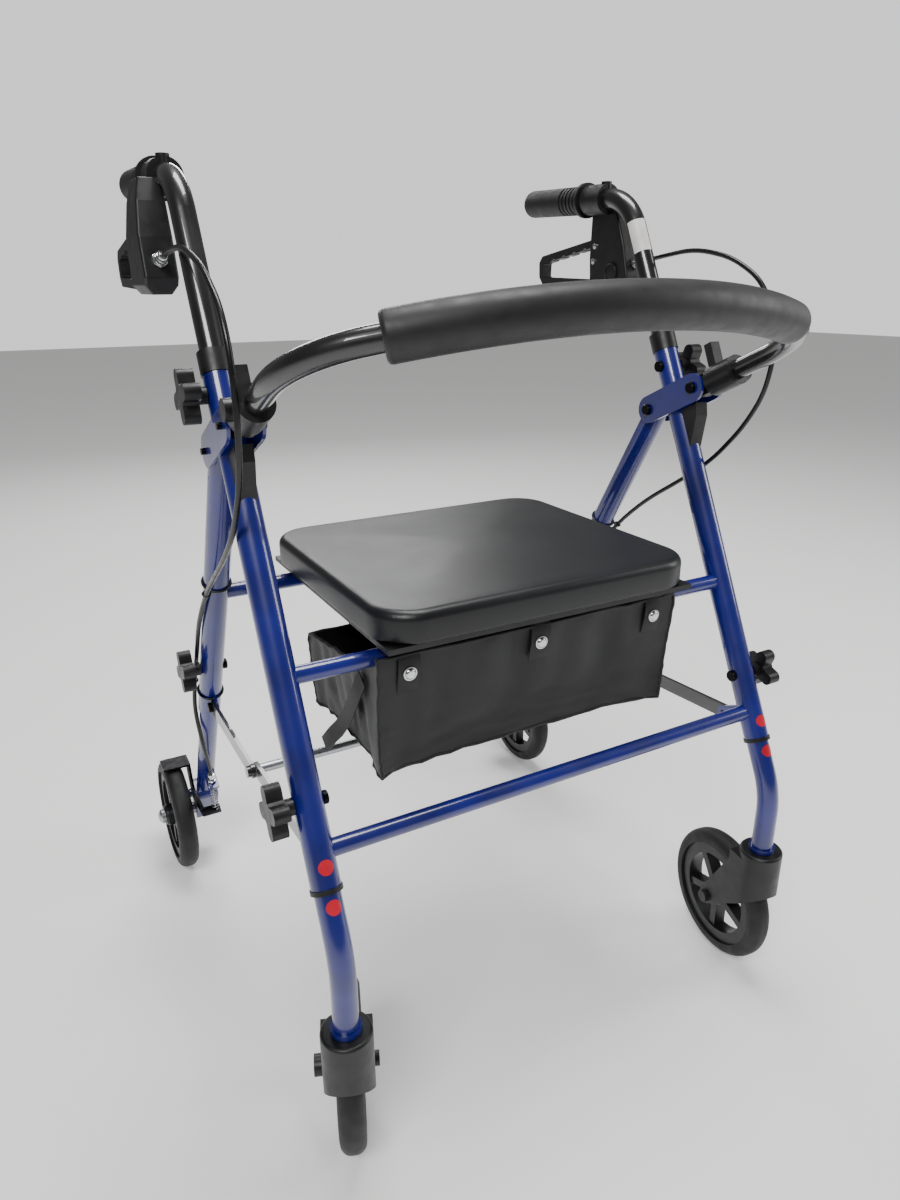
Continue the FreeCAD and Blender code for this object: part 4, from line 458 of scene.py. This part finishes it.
def build_seat(settings):
    """Closed cushion with rounded corners, a rounded top edge and a slight crown."""
    low, high = [Vector(corner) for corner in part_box("seat_cushion")]
    seat = block("seat_pad", low, high)

    def upright(edge):
        a, b = edge_ends(seat, edge)
        return (a - b).xy.length < 1e-5
    select_in_edit(seat, "EDGE", upright)
    bpy.ops.mesh.bevel(offset=settings.seat_corner, segments=12, profile=0.5)
    bpy.ops.object.mode_set(mode="OBJECT")

    top_level, bottom_level = high.z, low.z

    def at_level(level):
        return lambda edge: all(abs(end.z - level) < 1e-5 for end in edge_ends(seat, edge))
    select_in_edit(seat, "EDGE", at_level(top_level))
    bpy.ops.mesh.bevel(offset=SEAT_TOP_ROUNDING, segments=8, profile=0.5)
    bpy.ops.object.mode_set(mode="OBJECT")
    select_in_edit(seat, "EDGE", at_level(bottom_level))
    bpy.ops.mesh.bevel(offset=SEAT_UNDER_ROUNDING, segments=3, profile=0.5)
    bpy.ops.object.mode_set(mode="OBJECT")

    # The flat top rises towards the middle, softly at the rim and in the middle.
    select_in_edit(seat, "FACE", lambda face: face.normal.z > 0.9999 and face.center.z > top_level - 0.001)
    centre = (low + high) / 2
    for step in range(CROWN_STEPS):
        left = CROWN_STEPS + 1 - step
        before, after = [eased(1 - rest / (CROWN_STEPS + 1)) for rest in (left, left - 1)]
        rise = settings.seat_crown * (after - before)
        bpy.ops.mesh.extrude_region_move(TRANSFORM_OT_translate={"value": (0, 0, rise)})
        shrink = (left - 1) / left
        bpy.ops.transform.resize(value=(shrink, shrink, 1), center_override=tuple(centre))
    bpy.ops.object.mode_set(mode="OBJECT")
    smooth(seat, 50)
    dress(seat, "seat", MATERIALS["seat_vinyl"], ("seat_cushion",))


# ------------------------------------------------------------------ backrest sleeve
PAD_RADIUS = 0.018
PAD_ARC_RADIUS = 0.454
PAD_APEX = 0.211
PAD_HALF_WIDTH = 0.1928


def backrest_plane():
    """The backrest's middle pivot, its forward direction and its plane's normal."""
    pivot = joint_place("backrest_flip")
    pivot.x = 0
    rise = math.radians(25.1)
    ahead = Vector((0, -math.cos(rise), math.sin(rise)))
    return pivot, ahead, ACROSS.cross(ahead)


def build_backrest():
    """Foam sleeve: a disc spun along the backrest's arc, with rounded ends."""
    pivot, ahead, normal = backrest_plane()
    centre = pivot + ahead * (PAD_APEX - PAD_ARC_RADIUS)
    half_angle = math.asin(PAD_HALF_WIDTH / PAD_ARC_RADIUS)
    start = centre + (ACROSS * math.sin(half_angle) + ahead * math.cos(half_angle)) * PAD_ARC_RADIUS
    tangent = ACROSS * math.cos(half_angle) - ahead * math.sin(half_angle)
    deselect()
    bpy.ops.mesh.primitive_circle_add(vertices=40, radius=PAD_RADIUS, fill_type="NGON", location=start,
                                      rotation=turn_to(tangent))
    sleeve = settle("backrest_sleeve")
    bpy.ops.object.mode_set(mode="EDIT")
    bpy.ops.mesh.select_all(action="SELECT")
    bpy.ops.mesh.spin(steps=56, angle=-2 * half_angle, center=centre, axis=normal)
    bpy.ops.mesh.select_all(action="SELECT")
    bpy.ops.mesh.normals_make_consistent(inside=False)
    bpy.ops.object.mode_set(mode="OBJECT")
    if min(vertex.co.x for vertex in sleeve.data.vertices) > 0:
        raise RuntimeError("The backrest sleeve was spun the wrong way")
    soften(sleeve, 0.004, 4, 50)
    dress(sleeve, "backrest", MATERIALS["foam_sleeve"], ("backrest_pad",))


# ------------------------------------------------------------------ bag
RIM_ABOVE_BAR = 0.003
RIM_AHEAD_OF_BAR = 0.015
FLARE_START = 0.5
FLARE_DEPTH = 0.06


def flare(point, low, high, share):
    """The front panel leans out over the seat bar and hides it."""
    bar = joint_place("seat_lift")
    height = eased((share - FLARE_START) / (1 - FLARE_START))
    nearness = eased(1 - (point.y - low.y) / FLARE_DEPTH)
    out = bar.y - RIM_AHEAD_OF_BAR - low.y
    up = bar.z + RIM_ABOVE_BAR - high.z
    return Vector((0, out, up)) * height * nearness


def bag_cells(low, high):
    """An open-topped box of small cloth cells."""
    shell = block("bag_shell", low, high)
    bpy.ops.object.mode_set(mode="EDIT")
    bpy.ops.mesh.select_all(action="SELECT")
    bpy.ops.mesh.subdivide(number_cuts=21)
    bpy.ops.object.mode_set(mode="OBJECT")
    select_in_edit(shell, "FACE", lambda face: face.normal.z > 0.9)
    bpy.ops.mesh.delete(type="ONLY_FACE")
    bpy.ops.mesh.select_mode(type="VERT")
    bpy.ops.object.mode_set(mode="OBJECT")
    return shell


def build_bag(settings):
    """Open bag of hanging cloth with bound edges."""
    low, high = [Vector(corner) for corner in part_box("storage_bag")]
    low += Vector((0.002, 0.002, 0.003))
    high -= Vector((0.002, 0.002, 0))
    rear_drop = 0.024 / (high.z - low.z)
    shell = bag_cells(low, high)
    vertices = shell.data.vertices
    generator = random.Random(7)
    pins, seams = [], set()
    for vertex in vertices:
        share = (vertex.co.z - low.z) / (high.z - low.z)
        extremes = sum(abs(vertex.co[axis] - end[axis]) < 1e-4 for axis in (0, 1) for end in (low, high))
        if share > 0.96:
            pins.append(vertex.index)
        if extremes == 2 or (extremes == 1 and (share < 0.01 or share > 0.99)):
            seams.add(vertex.index)
        lean = flare(vertex.co, low, high, share)
        vertex.co.z -= share * (high.z - low.z) * rear_drop * (vertex.co.y - low.y) / (high.y - low.y)
        vertex.co += lean
        vertex.co += Vector([generator.uniform(-0.0006, 0.0006) for _ in range(3)])
    hang(shell, pins, settings)
    binding = bind_edges(shell, seams)
    apply_modifier(shell, "SUBSURF", levels=1)
    apply_modifier(shell, "SOLIDIFY", thickness=0.0016, offset=0)
    smooth(shell, 60)
    dress(shell, "front_frame", MATERIALS["bag_fabric"], ("storage_bag",))
    dress(binding, "front_frame", MATERIALS["webbing"])


def hang(shell, pins, settings):
    """Lets the cloth hang from its rim for a moment, no further than the stated limit."""
    start = [vertex.co.copy() for vertex in shell.data.vertices]
    group = shell.vertex_groups.new(name="rim")
    group.add(pins, 1.0, "REPLACE")
    select_only(shell)
    cloth = shell.modifiers.new("cloth", "CLOTH")
    cloth.settings.quality = 6
    cloth.settings.mass = 0.25
    cloth.settings.tension_stiffness = 20
    cloth.settings.compression_stiffness = 8
    cloth.settings.bending_stiffness = 0.4
    cloth.settings.shrink_min = -settings.bag_slack
    cloth.settings.vertex_group_mass = "rim"
    scene = bpy.context.scene
    for moment in range(1, 19):
        scene.frame_set(moment)
    bpy.ops.object.modifier_apply(modifier="cloth")
    scene.frame_set(1)
    shell.vertex_groups.clear()
    for vertex, before in zip(shell.data.vertices, start):
        moved = vertex.co - before
        if moved.length > settings.bag_sag_limit:
            vertex.co = before + moved.normalized() * settings.bag_sag_limit


def bind_edges(shell, seams):
    """A bound seam along the bag's rim and its corner edges."""
    middle = shell.data.vertices
    select_in_edit(shell, "EDGE", lambda edge: all(index in seams for index in edge.vertices)
                   and (middle[edge.vertices[0]].co - middle[edge.vertices[1]].co).length < 0.03)
    bpy.ops.transform.edge_crease(value=1.0)
    bpy.ops.mesh.duplicate()
    bpy.ops.mesh.separate(type="SELECTED")
    bpy.ops.object.mode_set(mode="OBJECT")
    binding = next(obj for obj in bpy.context.selected_objects if obj is not shell)
    select_only(binding)
    bpy.ops.object.convert(target="CURVE")
    binding.data.bevel_depth = 0.0019
    binding.data.bevel_resolution = 2
    bpy.ops.object.convert(target="MESH")
    binding.name = "bag_binding"
    return smooth(binding, 60)


FRONT_TAB_PLACES = (-0.14, 0.0, 0.14)
REAR_STRAP_PLACES = (-0.11, 0.11)


def build_bag_straps():
    """Front tabs with studs, rear straps and the side strap."""
    low, high = [Vector(corner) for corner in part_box("storage_bag")]
    bar = joint_place("seat_lift")
    for number, x in enumerate(FRONT_TAB_PLACES):
        rim = Vector((x, bar.y - RIM_AHEAD_OF_BAR - 0.0025, bar.z + RIM_ABOVE_BAR))
        stud_at = rim + Vector((0, 0.0005, -0.017))
        path = [rim + Vector((0, 0.005, -0.036)), stud_at, rim + Vector((0, 0, -0.004)),
                rim + Vector((0, 0.003, 0.003)),
                (x, bar.y - 0.004, bar.z + 0.0098), (x, bar.y + 0.004, bar.z + 0.0095),
                (x, bar.y + 0.0095, bar.z + 0.003), (x, bar.y + 0.0085, bar.z - 0.008),
                (x, bar.y, bar.z - 0.018)]
        tab = strap("bag_tab_%d" % number, path, 0.022, 0.0014)
        dress(tab, "front_frame", MATERIALS["webbing"])
        pieces = [rod("stud_base", stud_at, stud_at + Vector((0, -0.0022, 0)), 0.0068),
                  rod("stud_dome", stud_at + Vector((0, -0.0022, 0)), stud_at + Vector((0, -0.0042, 0)),
                      0.0058, tip=0.0038)]
        stud = soften(joined("bag_stud_%d" % number, pieces), 0.0006, 2)
        dress(stud, "front_frame", MATERIALS["chrome"])
    rear_bar = on_rear_leg(1, 0.1894)
    for number, x in enumerate(REAR_STRAP_PLACES):
        rim = Vector((x, high.y, high.z - 0.03))
        loop = Vector((x, rear_bar.y, rear_bar.z))
        path = [rim + Vector((0, 0.001, -0.03)), rim + Vector((0, 0.002, 0)),
                loop + Vector((0, -0.009, -0.006)), loop + Vector((0, -0.0085, 0.005)),
                loop + Vector((0, 0.0, 0.0095)), loop + Vector((0, 0.0085, 0.005)),
                loop + Vector((0, 0.007, -0.007)), loop + Vector((0, -0.004, -0.0105))]
        band = strap("bag_rear_strap_%d" % number, path, 0.02, 0.0013)
        band.data.materials.clear()
        band.data.materials.append(MATERIALS["webbing"])
        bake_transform(band)
    side = low.x - 0.002
    path = [(side, low.y + 0.028, high.z - 0.012), (side - 0.002, low.y + 0.045, high.z - 0.04),
            (side - 0.002, low.y + 0.065, high.z - 0.068), (side - 0.003, low.y + 0.085, high.z - 0.09),
            (side - 0.006, low.y + 0.1, high.z - 0.105), (side - 0.009, low.y + 0.115, high.z - 0.122)]
    side_band = strap("bag_side_strap", path, 0.018, 0.0013, across=(0, 0.78, 0.62))
    dress(side_band, "front_frame", MATERIALS["webbing"])


# ------------------------------------------------------------------ brake and cable trim
NUT_START = Vector((0, -0.0485, -0.0210))


def trim(name, pieces, body, material, rounding=0.0005, segments=2):
    """Joins small parts, rounds their edges and fixes them to a body."""
    return dress(soften(joined(name, pieces), rounding, segments), body, MATERIALS[material])


def build_cable_trim(settings):
    """Adjuster, housing screws and cover, ferrule, return spring and cable bands on each side."""
    for word, side in SIDES:
        pivot = joint_place("brake_squeeze_" + word)
        mouth = pivot + NUT_START
        ahead = Vector((0, -41, 6)).normalized()
        nut = [rod("nut", mouth, mouth + ahead * 0.012, 0.0052, 12),
               rod("lock_nut", mouth, mouth + ahead * 0.0035, 0.0072, 6),
               rod("nose", mouth + ahead * 0.012, mouth + ahead * 0.019, 0.0046, 24, tip=0.0034)]
        trim("cable_adjuster_" + word, nut, "handle_" + word, "chrome")

        inner_face = side * 0.2548
        screws = []
        for number, (back, down) in enumerate(((0.008, 0.0), (0.010, -0.017))):
            centre = Vector((inner_face, pivot.y + back, pivot.z + down))
            outward = ACROSS * side
            screws.append(rod("screw", centre + outward * 0.002, centre - outward * 0.0018, 0.0036, 24))
            screws.append(rod("slot_ring", centre - outward * 0.0012, centre - outward * 0.0022, 0.002, 6))
        trim("housing_screws_" + word, screws, "handle_" + word, "chrome")
        cover_at = Vector((inner_face, pivot.y - 0.024, pivot.z - 0.03))
        cover = [rod("cover", cover_at + ACROSS * side * 0.002, cover_at - ACROSS * side * 0.0015, 0.011, 40),
                 ring("cover_rim", cover_at - ACROSS * side * 0.0015, ACROSS, 0.0095, 0.0009)]
        trim("housing_cover_" + word, cover, "handle_" + word, "black_plastic")

        end = on_rear_leg(side, 0.529, 0.028)
        before = on_rear_leg(side, 0.493, 0.025, 0.004)
        along = (end - before).normalized()
        ferrule = [rod("ferrule", end - along * 0.015, end + along * 0.001, 0.0042),
                   rod("collar", end - along * 0.003, end + along * 0.001, 0.0056, 6)]
        trim("cable_ferrule_" + word, ferrule, "rear_lower_leg_" + word, "chrome")
        lug = on_rear_leg(side, 0.5655, 0.050)
        top = on_rear_leg(side, 0.5345, 0.030)
        inner_wire = rod("inner_wire_" + word, top, lug, 0.0008, 12)
        dress(inner_wire, "rear_lower_leg_" + word, MATERIALS["zinc_steel"])
        spring = coil("return_spring_" + word, top, lug, 0.0042, 0.0006, settings.spring_turns)
        dress(spring, "rear_lower_leg_" + word, MATERIALS["zinc_steel"])

        bands = []
        for down, out, ahead_by in ((0.1725, 0.014, 0.014), (0.362, 0.014, -0.018)):
            centre = on_rear_leg(side, down)
            bands.append(ring("band", centre, REAR_DOWN, LEG_RADIUS + 0.0012, 0.0013, (40, 8)))
            loop_at = on_rear_leg(side, down, ahead_by, out)
            bands.append(ring("loop", loop_at, REAR_DOWN, 0.0036, 0.0012, (24, 8)))
        bands = smooth(joined("cable_bands_" + word, bands))
        dress(bands, "rear_frame", MATERIALS["black_plastic"])


def coil(name, top, bottom, radius, thickness, turns):
    """A close helical spring between two points."""
    axis = (bottom - top).normalized()
    side = axis.cross(ACROSS).normalized()
    third = axis.cross(side)
    per_turn = 12
    points = []
    for step in range(turns * per_turn + 1):
        angle = 2 * math.pi * step / per_turn
        centre = top + (bottom - top) * step / (turns * per_turn)
        points.append(centre + (side * math.cos(angle) + third * math.sin(angle)) * radius)
    return wire(name, points, thickness)


# ------------------------------------------------------------------ stickers
def wrapped(name, cutter, start, end, radius):
    """The part of a thin sleeve round a tube that lies inside a cutter."""
    sleeve = rod(name + "_sleeve", start, end, radius + 0.00025, 96)
    apply_modifier(cutter, "BOOLEAN", operation="INTERSECT", object=sleeve, solver="EXACT")
    bpy.data.objects.remove(sleeve)
    cutter.name = name
    return smooth(cutter, 40)


def build_stickers():
    """Four red discs on the legs and a white label on the left handle tube."""
    facing = -LEG_BACK
    for word, side in SIDES:
        for name, along, radius, body in (("upper", 0.0806, LEG_RADIUS, "front_frame"),
                                          ("lower", 0.0475, 0.0115, "front_lower_leg_" + word)):
            centre = on_front_leg(side, along)
            dot = rod("dot", centre + facing * 0.006, centre + facing * 0.016, 0.0065, 48)
            dot = wrapped("red_dot_%s_%s" % (name, word), dot, centre - LEG_UP * 0.02,
                          centre + LEG_UP * 0.02, radius)
            dress(dot, body, MATERIALS["red_vinyl"])
    centre = on_front_leg(1, 0.632)
    outward = (facing * 0.8 - ACROSS * 0.6).normalized()
    label = block("label", (-0.0095, -0.018, 0), (0.0095, 0.018, 0.02))
    turned = Matrix((outward.cross(LEG_UP).normalized() * -1, LEG_UP, outward)).transposed()
    label.matrix_world = Matrix.Translation(centre) @ turned.to_4x4()
    select_only(label)
    bpy.ops.object.transform_apply(location=True, rotation=True, scale=True)
    label = wrapped("handle_label", label, centre - LEG_UP * 0.03, centre + LEG_UP * 0.03, 0.0111)
    dress(label, "handle_left", MATERIALS["white_vinyl"])


# ------------------------------------------------------------------ wheel trim
def build_wheel_trim():
    """Shallow caps on the outer side of the rear hubs."""
    for word, side in SIDES:
        hub = joint_place("rear_wheel_roll_" + word)
        outer = hub + ACROSS * side * 0.0136
        cap = [rod("cap", outer, outer + ACROSS * side * 0.004, 0.0145, 40, tip=0.0125)]
        trim("rear_hub_cap_" + word, cap, "rear_wheel_" + word, "wheel_plastic", 0.0008, 3)


# ------------------------------------------------------------------ stage
CAMERA_PLACE = Vector((-0.4309, -0.8028, 0.7685))
CAMERA_AHEAD = Vector((0.4506, 0.8206, -0.3515))
CAMERA_ROLL = math.radians(-0.35)
CAMERA_LENS = 25.14


def softbox(name, place, target, size, power):
    """A rectangular area light aimed at a point."""
    deselect()
    turn = (Vector(place) - Vector(target)).to_track_quat("Z", "Y").to_euler()
    bpy.ops.object.light_add(type="AREA", location=place, rotation=turn)
    lamp = bpy.context.object
    lamp.name = name
    lamp.data.shape = "RECTANGLE"
    lamp.data.size, lamp.data.size_y = size
    lamp.data.energy = power
    return lamp


WORLD_GLOW = 0.18
FLOOR_GLOW = 0.25
BACKDROP_GLOW = 1.15


def build_stage(settings):
    """Floor, four softboxes, dim surroundings and the camera."""
    floor_material, tree, shader, place = new_material("Matt studio floor", "f4f4f3", 0.9)
    grain(tree, shader, place, 0.004, 0.00005)
    shader.inputs["Emission Color"].default_value = linear("f4f4f3")
    shader.inputs["Emission Strength"].default_value = FLOOR_GLOW
    deselect()
    bpy.ops.mesh.primitive_plane_add(size=24, location=(0, 0, -0.0005))
    floor = settle("floor")
    floor.data.materials.append(floor_material)
    target = (0, 0, 0.5)
    power = settings.lamp_power
    lamps = [softbox("key", (-1.5, -1.7, 2.6), target, (1.3, 0.7), power),
             softbox("overhead", (0.3, 0.2, 2.9), target, (1.6, 0.8), power),
             softbox("fill", (2.4, -1.0, 1.5), target, (0.8, 1.4), power * 0.4),
             softbox("back", (0.6, 2.6, 1.9), target, (1.6, 0.6), power * 0.5)]
    world = bpy.data.worlds.new("studio")
    world.use_nodes = True
    tree = world.node_tree
    seen = add_node(tree, "LightPath").outputs["Is Camera Ray"]
    strength = add_node(tree, "MapRange", {"Value": seen, "To Min": WORLD_GLOW, "To Max": BACKDROP_GLOW})
    backdrop = tree.nodes["Background"]
    backdrop.inputs["Color"].default_value = linear("f6f6f6")
    tree.links.new(strength.outputs["Result"], backdrop.inputs["Strength"])
    scene = bpy.context.scene
    scene.world = world
    deselect()
    look = CAMERA_AHEAD.to_track_quat("-Z", "Y").to_matrix() @ Matrix.Rotation(CAMERA_ROLL, 3, "Z")
    bpy.ops.object.camera_add(location=CAMERA_PLACE, rotation=look.to_euler())
    camera = bpy.context.object
    camera.name = "camera"
    camera.data.lens = CAMERA_LENS
    camera.data.sensor_width = 36
    camera.data.dof.use_dof = False
    scene.camera = camera


# ------------------------------------------------------------------ operators and panel
class WalkerStep(bpy.types.Operator):
    """One building step of the walker"""
    bl_options = {"REGISTER", "UNDO"}

    def execute(self, context):
        self.build(context.scene.walker_settings)
        return {"FINISHED"}


class WALKER_OT_materials(WalkerStep):
    """Make the materials and give every CAD piece its own"""
    bl_idname = "walker.materials"
    bl_label = "Materials"

    def build(self, settings):
        make_materials()
        finish_nodes()


class WALKER_OT_seat(WalkerStep):
    """Build the padded seat"""
    bl_idname = "walker.seat"
    bl_label = "Seat"

    def build(self, settings):
        build_seat(settings)


class WALKER_OT_backrest(WalkerStep):
    """Build the foam sleeve of the backrest"""
    bl_idname = "walker.backrest"
    bl_label = "Backrest sleeve"

    def build(self, settings):
        build_backrest()


class WALKER_OT_bag(WalkerStep):
    """Build the storage bag and its straps"""
    bl_idname = "walker.bag"
    bl_label = "Bag"

    def build(self, settings):
        build_bag(settings)
        build_bag_straps()


class WALKER_OT_cable_trim(WalkerStep):
    """Build the adjusters, ferrules, springs and cable bands"""
    bl_idname = "walker.cable_trim"
    bl_label = "Cable trim"

    def build(self, settings):
        build_cable_trim(settings)


class WALKER_OT_stickers(WalkerStep):
    """Build the plain stickers"""
    bl_idname = "walker.stickers"
    bl_label = "Stickers"

    def build(self, settings):
        build_stickers()


class WALKER_OT_wheel_trim(WalkerStep):
    """Build the hub caps"""
    bl_idname = "walker.wheel_trim"
    bl_label = "Wheel trim"

    def build(self, settings):
        build_wheel_trim()


class WALKER_OT_stage(WalkerStep):
    """Set up the floor, the lamps and the camera"""
    bl_idname = "walker.stage"
    bl_label = "Stage"

    def build(self, settings):
        build_stage(settings)


STEPS = (WALKER_OT_materials, WALKER_OT_seat, WALKER_OT_backrest, WALKER_OT_bag, WALKER_OT_cable_trim,
         WALKER_OT_stickers, WALKER_OT_wheel_trim, WALKER_OT_stage)


class WALKER_PT_panel(bpy.types.Panel):
    bl_label = "Walker"
    bl_idname = "WALKER_PT_panel"
    bl_space_type = "VIEW_3D"
    bl_region_type = "UI"
    bl_category = "Walker"

    def draw(self, context):
        settings = context.scene.walker_settings
        for name in WalkerSettings.__annotations__:
            self.layout.prop(settings, name)
        for step in STEPS:
            self.layout.operator(step.bl_idname)


CLASSES = (WalkerSettings, *STEPS, WALKER_PT_panel)


def register():
    for cls in CLASSES:
        bpy.utils.register_class(cls)
    bpy.types.Scene.walker_settings = PointerProperty(type=WalkerSettings)


def unregister():
    del bpy.types.Scene.walker_settings
    for cls in reversed(CLASSES):
        bpy.utils.unregister_class(cls)


def main():
    register()
    for step in STEPS:
        area, name = step.bl_idname.split(".")
        getattr(getattr(bpy.ops, area), name)()


if __name__ == "__main__":
    main()
